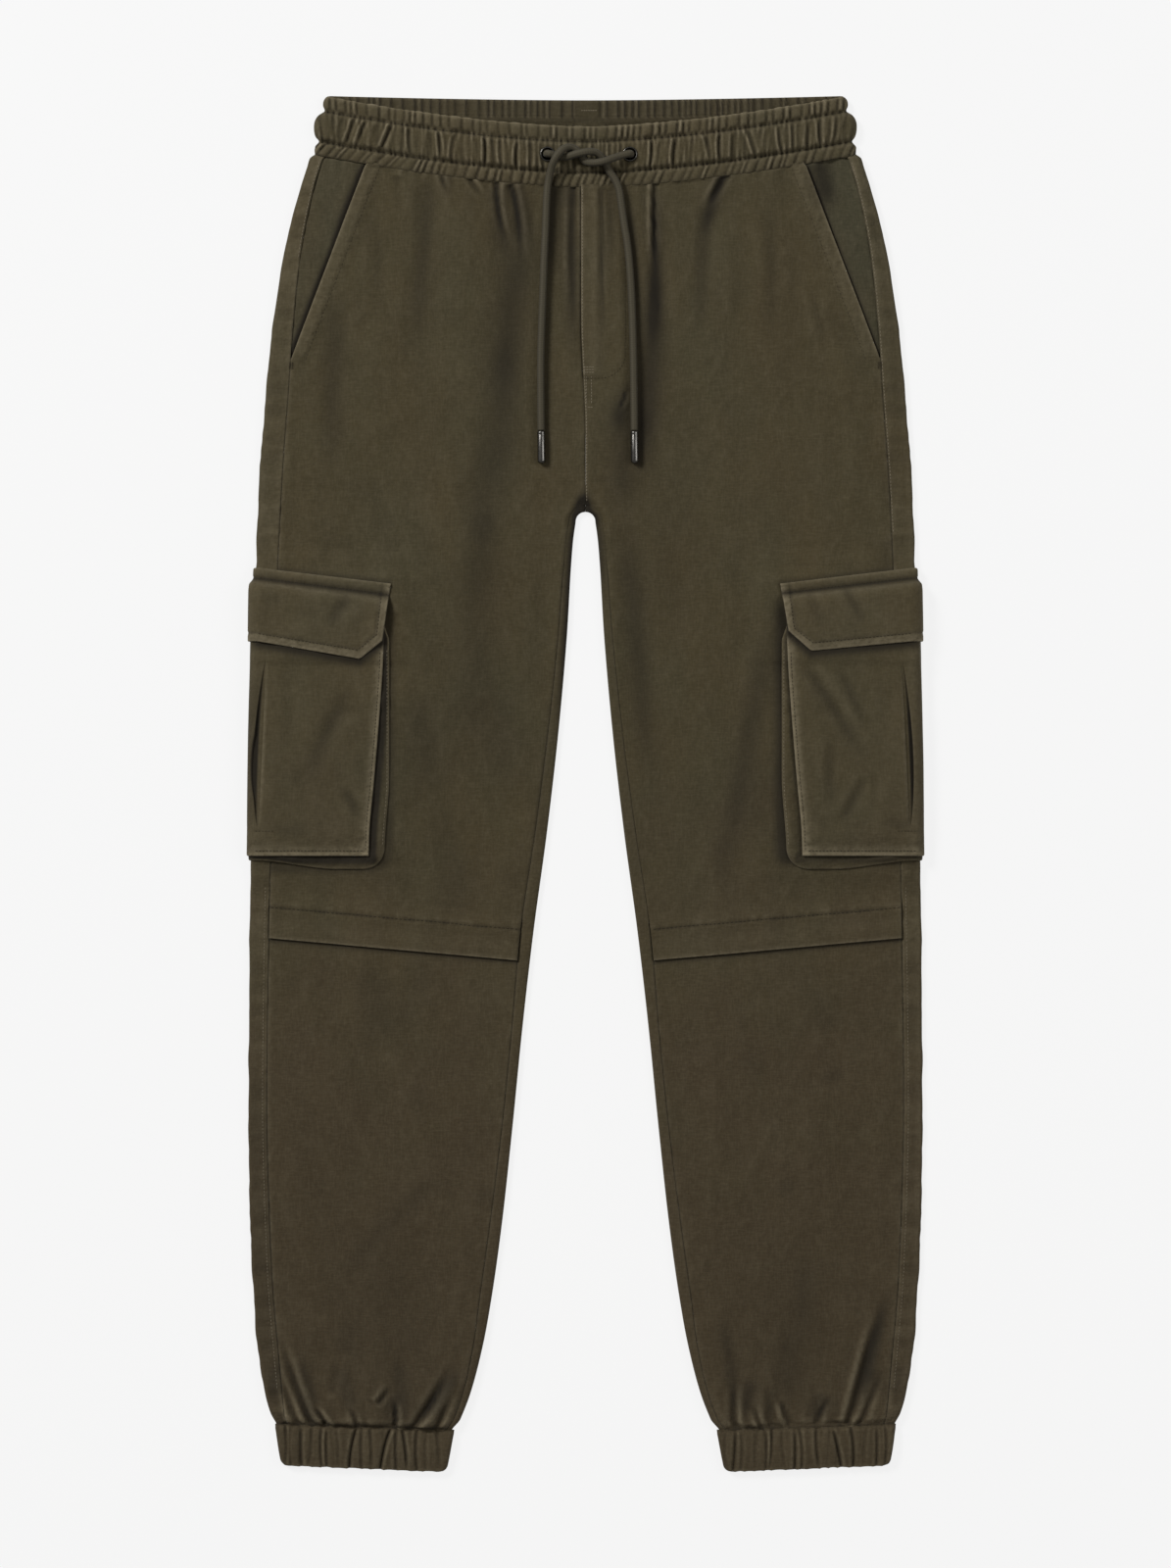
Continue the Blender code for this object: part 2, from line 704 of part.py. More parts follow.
def band_stops(half_arc, pleats):
    """Stops round a flattened band: shares across its front, angles round a fold, shares across its back."""
    across = [(k + 0.5) / (2 * pleats) for k in range(2 * pleats)]
    stops = [("front", share) for share in across]
    stops += [("high_fold", angle) for angle in half_arc]
    stops += [("back", 1 - share) for share in across]
    stops += [("low_fold", angle) for angle in half_arc]
    return stops


def band_point(stop, low, high, thickness, out):
    """x and z of a point of a flattened band that reaches from low to high, and how far round it has come.

    The last value is 1 on the front, 0 on the back and in between on the folds.
    """
    zone, value = stop
    radius = thickness / 2
    if zone in ("front", "back"):
        x = low + radius + (high - low - 2 * radius) * value
        return x, (thickness + out if zone == "front" else -out), float(zone == "front")
    angle = radians(value)
    if zone == "high_fold":
        x = high - radius + (radius + out) * sin(angle)
    else:
        x = low + radius - (radius + out) * sin(angle)
    level = cos(angle) if zone == "high_fold" else -cos(angle)
    tall = radius + (out if level > 0 else min(out, 0.0))
    return x, radius + tall * level, (1 + level) / 2


FOLD_STOPS = (22, 90, 158)


def make_waistband():
    stops = band_stops(FOLD_STOPS, BAND_PLEATS)
    section = [(line, 0) for line in BAND_LINES] + [(line, BAND_WALL) for line in BAND_LINES[::-2]]

    def point(row, column):
        stop = stops[row]
        line, depth = section[column]
        zone, _ = stop
        x, _, front = band_point(stop, -line.half_width, line.half_width, BAND_THICKNESS, 0)
        at_eyelets = zone == "front" and abs(x) < EYELET_X["left"] + EYELET_FLAT
        bulge = 0.0 if depth else line.bulge
        if zone in ("front", "back") and not depth and not at_eyelets:
            bulge += BAND_PLEAT_DEPTH * (1 if row % 2 else -1)
        if zone == "back":
            bulge = min(bulge, 0.0)
        x, z, _ = band_point(stop, -line.half_width, line.half_width, BAND_THICKNESS, bulge - depth)
        dip = waist_dip(x, FRONT_DIP * front + BACK_DIP * (1 - front))
        return place(x, BAND_TOP - BAND_HEIGHT * line.share - dip, z)

    return ring("waistband", len(stops), len(section), point)


def make_cuff(leg, side):
    stops = band_stops(FOLD_STOPS, CUFF_PLEATS)
    section = [(line, 0) for line in CUFF_LINES] + [(line, BAND_WALL) for line in CUFF_LINES[::-1]]

    def point(row, column):
        stop = stops[row]
        line, depth = section[column]
        zone, _ = stop
        bulge = 0.0 if depth else line.bulge
        if zone in ("front", "back") and not depth:
            bulge += CUFF_PLEAT_DEPTH * (1 if row % 2 else -1)
        if zone == "back":
            bulge = min(bulge, 0.0)
        x, z, _ = band_point(stop, line.inner, line.outer, CUFF_THICKNESS, bulge - depth)
        across = (x - line.inner) / (line.outer - line.inner)
        return place(x, line.up + CUFF_DROP * (across - line.up / CUFF_SEAM), z)

    return ring(f"cuff_{leg}", len(stops), len(section), point, side)


# ---------------------------------------------------------------- trim


def turned(name, profile, centre, direction, look, segments=16):
    """A solid of revolution: profile is a closed run of (radius, distance along) round the axis."""
    bm = bmesh.new()
    verts = [bm.verts.new((radius * MM, 0, along * MM)) for radius, along in profile]
    edges = [bm.edges.new(pair) for pair in zip(verts, verts[1:])]
    if profile[0][0] > 0:
        edges.append(bm.edges.new((verts[-1], verts[0])))
    bmesh.ops.spin(
        bm, geom=verts + edges, cent=(0, 0, 0), axis=(0, 0, 1), angle=2 * pi, steps=segments, use_merge=True
    )
    bmesh.ops.remove_doubles(bm, verts=bm.verts, dist=0.005 * MM)
    bmesh.ops.recalc_face_normals(bm, faces=bm.faces)
    obj = make_object(name, bm, look)
    obj.location = centre
    obj.rotation_euler = direction.to_track_quat("Z", "Y").to_euler()
    return obj


def cut_eyelet_holes(waistband):
    """Holes through the front of the waistband, where the drawcord comes out."""
    for leg, side in LEGS.items():
        bm = bmesh.new()
        radius = EYELET_HOLE * MM
        bmesh.ops.create_cone(
            bm, cap_ends=True, segments=16, radius1=radius, radius2=radius, depth=CUT_DEPTH * MM
        )
        cutter = make_object(f"eyelet_cutter_{leg}", bm, CLOTH_LOOK)
        inside = BAND_THICKNESS - BAND_WALL - HALF_GAP
        cutter.location = place(side * EYELET_X[leg], EYELET_UP, inside + CUT_DEPTH / 2)
        cutter.hide_render = True
        cutter.display_type = "WIRE"
        hole = waistband.modifiers.new(f"hole_{leg}", "BOOLEAN")
        hole.operation = "DIFFERENCE"
        hole.solver = "EXACT"
        hole.object = cutter


def make_eyelet(leg, side):
    middle = (EYELET_INNER + EYELET_OUTER) / 2
    profile = [
        (EYELET_INNER, 0),
        (EYELET_OUTER, 0),
        (EYELET_OUTER, EYELET_HEIGHT * 0.4),
        (middle, EYELET_HEIGHT),
        (EYELET_INNER, EYELET_HEIGHT * 0.5),
    ]
    centre = place(side * EYELET_X[leg], EYELET_UP, EYELET_Z)
    return turned(f"eyelet_{leg}", profile, centre, Vector((0, 0, 1)), METAL_LOOK, 20)


def through(route):
    """Evenly spaced points on a smooth curve through the route."""
    points = [Vector(row) for row in route]
    ends = [2 * points[0] - points[1]] + points + [2 * points[-1] - points[-2]]
    fine = []
    for a, b, c, d in zip(ends, ends[1:], ends[2:], ends[3:]):
        for k in range(12):
            t = k / 12
            square, cube = 2 * a - 5 * b + 4 * c - d, 3 * b - a - 3 * c + d
            fine.append(0.5 * (2 * b + (c - a) * t + square * t**2 + cube * t**3))
    fine.append(points[-1])
    along = [0.0]
    for a, b in zip(fine, fine[1:]):
        along.append(along[-1] + (b - a).length)
    count = round(along[-1] / CORD_STEP)
    spaced = []
    i = 0
    for k in range(count + 1):
        target = along[-1] * k / count
        while i < len(fine) - 2 and along[i + 1] < target:
            i += 1
        share = (target - along[i]) / (along[i + 1] - along[i])
        spaced.append(fine[i].lerp(fine[i + 1], min(share, 1.0)) * MM)
    return spaced


def make_cord(name, route):
    curve = bpy.data.curves.new(name, "CURVE")
    curve.dimensions = "3D"
    curve.bevel_depth = CORD_DIAMETER / 2 * MM
    curve.bevel_resolution = CORD_SIDES
    curve.use_fill_caps = True
    points = through(route)
    spline = curve.splines.new("POLY")
    spline.points.add(len(points) - 1)
    for slot, point in zip(spline.points, points):
        slot.co = (*point, 1)
    curve.materials.append(make_material(name + "_finish", CORD_LOOK))
    obj = bpy.data.objects.new(name, curve)
    bpy.context.scene.collection.objects.link(obj)
    return points


def make_aglet(name, points):
    """The metal tip that continues a cord."""
    direction = (points[-1] - points[-2]).normalized()
    radius = AGLET_DIAMETER / 2
    profile = [
        (0, 0),
        (radius - 0.4, 0),
        (radius, 0.4),
        (radius, AGLET_LENGTH - 1),
        (radius - 0.8, AGLET_LENGTH),
        (0, AGLET_LENGTH),
    ]
    turned(name, profile, points[-1] + direction * GAP * MM, direction, METAL_LOOK, 14)


def build():
    clear_scene()
    waistband = make_waistband()
    cut_eyelet_holes(waistband)
    for leg, side in LEGS.items():
        make_back_leg(leg, side)
        make_front_thigh(leg, side)
        make_front_shin(leg, side)
        make_facing(leg, side)
        make_bellows(leg, side)
        make_pouch(leg, side)
        make_flap(leg, side)
        make_cuff(leg, side)
        make_eyelet(leg, side)
    for name, route in (("right", LEFT_CORD), ("left", RIGHT_CORD)):
        points = make_cord(f"drawcord_from_{name}_eyelet", route)
        make_aglet(f"aglet_{name}_cord", points)


build()
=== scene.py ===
"""Looks of the cargo trousers, which lie flat and face up on a pale surface.

Tables are in millimetres in the part's own frame: "up" is the height above the hem of the cuffs, x is the
distance from the centre line, and z is the height above the surface. Each leg is built at +X, where the
wearer's left leg lies, and mirrored for the other. Creases are placed one by one, so they carry a signed x.
"""

import random
from collections import namedtuple
from math import ceil, cos, hypot, pi, radians, sin, sqrt

import bmesh
import bpy
import numpy as np
from mathutils import Matrix, Vector
from mathutils.bvhtree import BVHTree

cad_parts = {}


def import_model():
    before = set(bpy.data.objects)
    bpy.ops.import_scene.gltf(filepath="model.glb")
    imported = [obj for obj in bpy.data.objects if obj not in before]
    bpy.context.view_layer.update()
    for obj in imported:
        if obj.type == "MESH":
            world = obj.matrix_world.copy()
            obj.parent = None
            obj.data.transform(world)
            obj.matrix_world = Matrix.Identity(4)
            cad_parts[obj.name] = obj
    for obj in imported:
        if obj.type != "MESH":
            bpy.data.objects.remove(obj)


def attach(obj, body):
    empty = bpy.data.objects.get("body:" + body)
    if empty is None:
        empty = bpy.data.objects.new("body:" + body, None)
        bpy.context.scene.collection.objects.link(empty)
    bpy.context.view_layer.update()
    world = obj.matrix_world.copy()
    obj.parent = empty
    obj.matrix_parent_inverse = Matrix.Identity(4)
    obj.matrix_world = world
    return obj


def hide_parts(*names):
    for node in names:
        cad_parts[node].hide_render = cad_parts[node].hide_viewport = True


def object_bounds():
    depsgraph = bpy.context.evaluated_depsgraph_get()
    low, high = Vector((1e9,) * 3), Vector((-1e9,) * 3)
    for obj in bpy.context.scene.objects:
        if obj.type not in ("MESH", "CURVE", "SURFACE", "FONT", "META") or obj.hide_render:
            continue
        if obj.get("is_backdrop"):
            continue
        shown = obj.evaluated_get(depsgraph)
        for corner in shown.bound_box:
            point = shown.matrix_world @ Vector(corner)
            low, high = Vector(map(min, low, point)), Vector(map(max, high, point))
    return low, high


MM = 0.001
WELD = 0.01 * MM  # corners closer than this are one
LENGTH = 1026.2
CLOTH = 1.2  # the thickness of a panel
HALF_GAP = 0.04  # between two panels, at each side of a seam
MEETING = 0.01  # the same where the two legs meet
TWILL_PITCH = 1.1
LAYER = 1.5  # how much one layer of cloth raises the one on it
BAND_WALL = 2.6  # the doubled cloth and elastic of the waistband and the cuffs
TUCK = 1.4  # how far the leg's cloth runs on into the seams of the waistband and the cuffs
LEGS = {"left": 1, "right": -1}

# ---------------------------------------------------------------- the garment's form, as in the solids

Outside = namedtuple("Outside", "up edge seam fold loft")
OUTSIDE = (
    Outside(33, 231.5, 223.5, 5.8, 5.8),
    Outside(56, 238.3, 225.6, 5.8, 6.4),
    Outside(93, 244.6, 229.2, 5.2, 6.2),
    Outside(129, 247.5, 232.5, 4.6, 5.6),
    Outside(184, 250.0, 235.2, 4.4, 5.0),
    Outside(257, 251.5, 237.2, 4.4, 4.8),
    Outside(330, 251.1, 236.9, 4.4, 4.8),
    Outside(403, 250.4, 235.8, 4.4, 4.8),
    Outside(476, 249.3, 234.3, 4.4, 4.8),
    Outside(549, 248.2, 232.5, 4.4, 4.8),
    Outside(622, 246.7, 230.7, 4.4, 4.8),
    Outside(677, 245.6, 229.2, 4.4, 5.0),
    Outside(750, 242.7, 225.4, 4.6, 5.2),
    Outside(804, 238.3, 221.4, 4.8, 5.4),
    Outside(859, 232.9, 217.5, 5.2, 5.8),
    Outside(914, 223.4, 211.3, 5.4, 6.2),
    Outside(958, 212.3, 202.2, 5.6, 6.4),
    Outside(982, 204.6, 195.0, 5.8, 6.2),
)
Inside = namedtuple("Inside", "up edge seam")
INSIDE = (
    Inside(31, 96.5, 101.5),
    Inside(56, 86.5, 92.0),
    Inside(93, 76.7, 83.6),
    Inside(129, 70.1, 78.8),
    Inside(184, 62.4, 71.2),
    Inside(257, 54.4, 62.1),
    Inside(330, 47.1, 54.8),
    Inside(403, 38.7, 48.4),
    Inside(476, 28.8, 37.6),
    Inside(549, 20.4, 28.1),
    Inside(622, 13.9, 20.4),
    Inside(677, 10.6, 16.0),
    Inside(695, 9.1, 14.3),
    Inside(708.1, 7.3, 12.3),
)
CROWN_REACH = 45.0
CROTCH = 715.4
ARCH_RADIUS = 7.3
ARCH_CENTRE = CROTCH - ARCH_RADIUS
ARCH_INSET = 5.0

BAND_TOP = LENGTH
BAND_HEIGHT = 44.6
BAND_THICKNESS = 5.8
WAIST_SEAM = BAND_TOP - BAND_HEIGHT
WAIST_SEAM_X = 202.0
FRONT_DIP = 24.0
BACK_DIP = 3.5
DIP_POWER = 1.6
WAIST_BEND_REACH = 120.0
KNEE_STITCH = 420.6
KNEE_HEM = 397.5
KNEE_RAMP = 13.0
KNEE_TILT = 0.09
KNEE_X = 234.0
CUFF_SEAM = 35.8
CUFF_TILT = 0.033
CUFF_X = 231.8
CUFF_REACH = 60.0
OPENING_TOP = (163.4, 975.3)
OPENING_FOOT = (219.4, 829.3)
OPENING_ROW = 10.2  # from the edge of the slash pocket to its row of stitches
FLY_CORNER = (10.6, 833.0)  # the middle of the rounded corner of the mock fly, and how far it reaches
FLY_ROUNDING = (19.0, 18.3)

PouchRow = namedtuple("PouchRow", "up front back")
POUCH_ROWS = (
    PouchRow(460.0, 161.2, 78.0),
    PouchRow(480.0, 160.5, 79.0),
    PouchRow(512.0, 157.5, 82.0),
    PouchRow(560.0, 153.5, 85.0),
    PouchRow(604.0, 150.5, 88.0),
    PouchRow(630.0, 149.5, 89.0),
    PouchRow(656.0, 149.0, 89.5),
)
FLAP_TOP = 673.5
FLAP_FOOT = 618.5
FLAP_TILT = 0.12
FLAP_CUT = 16.5
FLAP_END_TOP = 144.5  # x of the flap's inner end at its top and at its foot
FLAP_END_FOOT = 151.0
FLAP_BACK_TOP = 98.0  # how far the flap reaches round behind the leg
FLAP_BACK_FOOT = 92.0
FLAP_ROW_TOP = 7.2  # from the flap's top, and from its other edges, to its rows of stitches
FLAP_ROW_EDGE = 6.2
FLAP_MIDDLE = 650.0  # where the width of the leg is taken for what lies along the flap
FOOT_TILT = {1: -0.026, -1: 0.052}  # how much steeper than its top a flap's foot runs
BELLOWS_FOOT = 449.0
BELLOWS_TOP = 645.0
BELLOWS_FRONT = 146.0
BELLOWS_BACK = 97.0
BELLOWS_CORNER = 16.0
BELLOWS_WIDTH = 15.8
Lift = namedtuple("Lift", "up height")
POCKET_LIFTS = (
    Lift(435.0, 0.0),
    Lift(450.0, 1.5),
    Lift(459.0, 3.0),
    Lift(600.0, 3.0),
    Lift(606.0, 4.5),
    Lift(663.0, 4.5),
    Lift(676.0, 1.9),
    Lift(690.0, 0.0),
)
LIFT_REACH = 99.0
LIFT_FADE = 34.0

# Down the waistband: the share of its height, half its width, and how plump it is.
BandLine = namedtuple("BandLine", "share half_width bulge")
BAND_LINES = (
    BandLine(0.0, 192.0, 0.0),
    BandLine(0.03, 193.6, 0.1),
    BandLine(0.08, 194.8, 0.3),
    BandLine(0.16, 195.4, 0.3),
    BandLine(0.25, 195.0, -0.2),
    BandLine(0.34, 198.4, 0.6),
    BandLine(0.44, 200.4, 1.1),
    BandLine(0.6, 200.9, 1.1),
    BandLine(0.7, 200.2, 0.6),
    BandLine(0.77, 199.2, -0.2),
    BandLine(0.87, 201.4, 0.3),
    BandLine(1.0, 201.4, 0.0),
)
CuffLine = namedtuple("CuffLine", "up outer inner bulge")
CUFF_LINES = (
    CuffLine(35.4, 231.5, 97.8, 0.0),
    CuffLine(12.0, 228.4, 101.5, 0.4),
    CuffLine(0.0, 226.8, 103.5, 0.0),
)
CUFF_DROP = 4.6
CUFF_ROUNDING = 5.5
CUFF_THICKNESS = 5.8

EYELET_X = {"left": 33.1, "right": 28.3}
EYELET_UP = 981.6
EYELET_Z = 7.2
EYELET_OUTER = 5.6
EYELET_INNER = 4.2
EYELET_HOLE = 4.7  # in the cloth, under the ring
CORD_DIAMETER = 5.5
BRAID_PITCH = 3.4
AGLET_LENGTH = 24.0
AGLET_DIAMETER = 5.9

# Routes of the two ends of the drawcord: x, y and z of points on the cord's middle line.
RIGHT_EYELET_CORD = (
    (-28.3, 468.4, 11.0),
    (-25.6, 467.8, 11.9),
    (-22.4, 466.9, 11.4),
    (-18.8, 465.9, 10.8),
    (-13.4, 465.9, 12.6),
    (-8.0, 467.2, 15.1),
    (-3.0, 468.2, 16.3),
    (2.5, 469.1, 15.6),
    (8.0, 468.6, 13.0),
    (12.4, 465.0, 10.7),
    (15.0, 460.0, 10.3),
    (18.4, 454.4, 9.9),
    (22.4, 448.6, 9.7),
    (25.2, 441.0, 9.6),
    (26.8, 430.0, 9.5),
    (29.0, 415.0, 9.4),
    (31.6, 398.0, 9.3),
    (33.8, 372.0, 9.1),
    (35.0, 344.0, 8.9),
    (35.7, 316.0, 8.7),
    (36.1, 288.0, 8.6),
    (36.4, 262.4, 8.5),
)
LEFT_EYELET_CORD = (
    (33.0, 468.4, 10.5),
    (29.6, 467.6, 11.8),
    (25.2, 466.2, 12.6),
    (20.0, 464.2, 14.8),
    (14.0, 461.9, 16.9),
    (8.0, 461.0, 15.4),
    (2.5, 461.6, 12.2),
    (-1.4, 463.8, 10.3),
    (-4.4, 468.6, 10.1),
    (-8.3, 471.9, 10.3),
    (-12.5, 472.8, 12.3),
    (-16.6, 471.0, 15.4),
    (-20.2, 467.4, 17.3),
    (-23.2, 462.8, 16.2),
    (-25.6, 456.6, 12.8),
    (-27.6, 448.0, 10.1),
    (-28.9, 436.0, 9.6),
    (-29.8, 412.0, 9.4),
    (-30.8, 390.0, 9.3),
    (-31.6, 368.0, 9.1),
    (-32.6, 342.0, 8.9),
    (-33.3, 316.0, 8.7),
    (-33.3, 290.0, 8.6),
    (-33.0, 262.4, 8.5),
)
CORDS = {"right": RIGHT_EYELET_CORD, "left": LEFT_EYELET_CORD}

# ---------------------------------------------------------------- creases, placed one by one

# A crease runs from (x, up) past a bend to (x_end, up_end). It is a trough of this half width and depth, with
# the cloth standing up beside it on its left (-1), its right (1) or neither side (0). It is deepest near its
# start when fade is small.
Crease = namedtuple("Crease", "x up bend_x bend_up x_end up_end width depth side fade")
CREASE_DEPTH = 2.1  # millimetres to a depth of 1 in LEG_CREASES
DEEPEST = 2.6  # no trough of the front goes further down
LEG_CREASES = (
    # under the waistband, wearer's right
    Crease(-66.8, 962, -67.5, 940, -58.0, 908, 2.0, 2.0, 1, 0.05),
    Crease(-66.0, 935, -62.0, 900, -56.0, 850, 7.0, 1.3, 0, 0.3),
    Crease(-56.5, 960, -49.0, 940, -48.0, 890, 2.6, 1.5, 1, 0.05),
    Crease(-50.0, 915, -51.0, 870, -57.0, 790, 10.0, 1.6, 0, 0.3),
    Crease(-88.5, 967, -84.0, 958, -76.0, 948, 2.0, 1.1, 1, 0.05),
    Crease(-107.8, 969, -107.0, 962, -104.0, 952, 1.8, 0.9, 1, 0.05),
    Crease(-120.0, 965, -120.0, 930, -123.0, 870, 7.0, 1.1, 0, 0.2),
    Crease(-126.0, 880, -127.0, 840, -128.0, 780, 9.0, 0.8, 0, 0.4),
    Crease(-140.0, 966, -141.0, 955, -136.0, 925, 4.0, 0.7, 0, 0.1),
    Crease(-152.0, 930, -156.0, 900, -150.0, 860, 7.0, 0.6, 0, 0.4),
    Crease(-190.0, 850, -193.0, 800, -194.0, 735, 8.0, 0.9, 0, 0.4),
    Crease(-9.2, 961, -10.5, 910, -8.5, 850, 2.6, 1.5, -1, 0.04),
    Crease(-22.0, 958, -21.0, 930, -19.0, 880, 4.0, 0.9, 0, 0.1),
    Crease(-36.0, 958, -40.0, 935, -38.0, 905, 3.5, 0.8, 0, 0.1),
    Crease(-78.0, 800, -70.0, 760, -66.0, 700, 13.0, 0.8, 0, 0.4),
    Crease(-160.0, 780, -150.0, 720, -140.0, 660, 11.0, 0.5, 0, 0.4),
    # under the waistband, wearer's left
    Crease(51.4, 962, 49.2, 930, 53.0, 888, 1.7, 2.3, -1, 0.04),
    Crease(51.5, 925, 53.0, 880, 62.0, 830, 6.5, 1.4, 0, 0.3),
    Crease(106.0, 968, 97.0, 955, 90.5, 940, 2.6, 1.8, -1, 0.05),
    Crease(93.0, 946, 86.0, 915, 84.0, 870, 6.0, 1.1, 0, 0.2),
    Crease(11.2, 958, 11.6, 900, 11.0, 850, 1.7, 0.7, 0, 0.05),
    Crease(17.5, 957, 18.5, 940, 21.0, 905, 3.2, 0.9, 0, 0.1),
    Crease(30.0, 806, 28.8, 798, 24.5, 790, 1.5, 1.2, 1, 0.1),
    Crease(43.0, 850, 42.0, 800, 45.0, 745, 7.0, 1.3, 0, 0.3),
    Crease(117.0, 930, 118.0, 880, 114.0, 820, 8.0, 0.8, 0, 0.3),
    Crease(137.0, 940, 141.0, 890, 137.0, 850, 6.0, 0.5, 0, 0.3),
    Crease(167.0, 890, 173.0, 850, 184.0, 826, 4.0, 0.7, 0, 0.3),
    Crease(70.0, 800, 82.0, 760, 90.0, 690, 13.0, 0.8, 0, 0.4),
    Crease(186.0, 800, 188.0, 760, 182.0, 700, 8.0, 0.6, 0, 0.4),
    # crotch and inner thigh
    Crease(-11.0, 742, -20.0, 715, -22.0, 680, 5.0, 0.3, 0, 0.1),
    Crease(12.0, 744, 21.0, 718, 24.0, 680, 5.0, 0.4, 0, 0.1),
    Crease(-29.0, 690, -33.0, 600, -44.0, 520, 8.0, 0.7, 0, 0.2),
    Crease(30.0, 690, 36.0, 600, 48.0, 520, 8.0, 0.7, 0, 0.2),
    # middle of the thighs
    Crease(-117.0, 628, -105.0, 590, -98.0, 545, 9.0, 0.7, 1, 0.4),
    Crease(-86.0, 590, -92.0, 540, -88.0, 480, 12.0, 0.6, 0, 0.4),
    Crease(118.0, 640, 108.0, 590, 92.0, 520, 9.0, 0.9, 0, 0.4),
    Crease(92.0, 525, 82.0, 490, 80.0, 450, 9.0, 0.7, 0, 0.3),
    Crease(-70.0, 700, -77.0, 640, -72.0, 590, 12.0, 0.6, 0, 0.4),
    Crease(66.0, 700, 62.0, 640, 68.0, 600, 12.0, 0.6, 0, 0.4),
    # shins
    Crease(-190.0, 340, -160.0, 300, -150.0, 240, 14.0, 0.7, 0, 0.4),
    Crease(-118.0, 330, -110.0, 280, -122.0, 220, 12.0, 0.6, 0, 0.4),
    Crease(-205.0, 250, -198.0, 190, -190.0, 150, 11.0, 0.6, 0, 0.4),
    Crease(-95.0, 230, -102.0, 180, -98.0, 130, 9.0, 0.6, 0, 0.4),
    Crease(150.0, 340, 165.0, 290, 160.0, 230, 14.0, 0.7, 0, 0.4),
    Crease(105.0, 320, 112.0, 270, 104.0, 210, 11.0, 0.6, 0, 0.4),
    Crease(198.0, 270, 204.0, 210, 196.0, 150, 11.0, 0.6, 0, 0.4),
    # above the cuffs
    Crease(-203.0, 33, -214.0, 52, -230.5, 108, 3.0, 2.2, 1, 0.03),
    Crease(-192.0, 32, -197.0, 42, -203.0, 50, 2.0, 1.6, 1, 0.03),
    Crease(-190.0, 56, -188.0, 70, -183.0, 92, 4.0, 0.8, 0, 0.2),
    Crease(-170.0, 31, -172.0, 42, -176.0, 50, 2.0, 1.1, 0, 0.03),
    Crease(-155.5, 50, -151.0, 56, -144.5, 66, 2.2, 1.1, -1, 0.2),
    Crease(-141.0, 31, -141.5, 42, -142.5, 56, 1.8, 1.9, 1, 0.03),
    Crease(-131.0, 30, -113.0, 52, -99.0, 84, 3.4, 2.3, 1, 0.03),
    Crease(-112.0, 30, -106.0, 44, -101.0, 56, 2.5, 1.0, 0, 0.03),
    Crease(-214.0, 34, -222.0, 52, -228.0, 74, 3.0, 1.3, 0, 0.03),
    Crease(195.0, 34, 207.0, 78, 221.0, 126, 3.2, 2.2, -1, 0.03),
    Crease(204.0, 33, 211.0, 52, 222.0, 78, 2.4, 1.3, 0, 0.03),
    Crease(153.0, 31, 149.0, 44, 144.5, 55, 2.0, 1.9, -1, 0.03),
    Crease(171.0, 32, 174.0, 44, 182.0, 58, 2.2, 1.4, 0, 0.03),
    Crease(129.5, 30, 128.0, 40, 124.0, 52, 2.0, 1.2, 1, 0.03),
    Crease(110.5, 30, 109.5, 50, 110.5, 70, 2.6, 1.6, 1, 0.03),
    Crease(139.0, 30, 137.0, 50, 131.0, 80, 4.0, 0.9, 0, 0.03),
)
# On the faces and flaps of the cargo pockets.
POCKET_CREASES = (
    Crease(-176.0, 656, -185.0, 642, -198.0, 626, 5.0, 1.1, 1, 0.4),
    Crease(-172.0, 590, -196.0, 556, -216.0, 505, 6.0, 1.3, 1, 0.3),
    Crease(-160.0, 566, -176.0, 570, -196.0, 560, 5.0, 0.6, 1, 0.4),
    Crease(-218.0, 530, -211.0, 500, -212.0, 475, 6.0, 0.8, 0, 0.3),
    Crease(-184.0, 512, -176.0, 498, -164.0, 482, 4.6, 0.9, 1, 0.4),
    Crease(-225.0, 606, -222.0, 570, -227.0, 520, 6.0, 0.7, 0, 0.3),
    Crease(-196.0, 640, -210.0, 636, -226.0, 640, 5.0, 0.6, 0, 0.3),
    Crease(-170.0, 540, -166.0, 520, -172.0, 500, 5.0, 0.5, 0, 0.3),
    Crease(162.0, 604, 186.0, 574, 216.0, 520, 4.5, 1.2, 1, 0.2),
    Crease(188.0, 604, 202.0, 575, 216.0, 545, 4.0, 0.8, 0, 0.2),
    Crease(194.0, 662, 200.0, 644, 214.0, 628, 4.0, 1.0, 0, 0.2),
    Crease(166.0, 656, 174.0, 642, 178.0, 624, 4.0, 0.6, 1, 0.2),
    Crease(168.0, 566, 178.0, 570, 192.0, 562, 4.5, 0.5, 0, 0.4),
    Crease(186.0, 555, 182.0, 525, 186.0, 490, 4.5, 0.9, -1, 0.3),
    Crease(212.0, 520, 200.0, 500, 188.0, 476, 4.0, 1.1, -1, 0.2),
    Crease(214.0, 525, 220.0, 500, 212.0, 478, 4.0, 0.7, 0, 0.3),
    Crease(168.0, 496, 178.0, 484, 188.0, 470, 4.5, 0.8, 0, 0.4),
    Crease(224.0, 600, 228.0, 560, 222.0, 510, 6.0, 0.6, 0, 0.3),
)
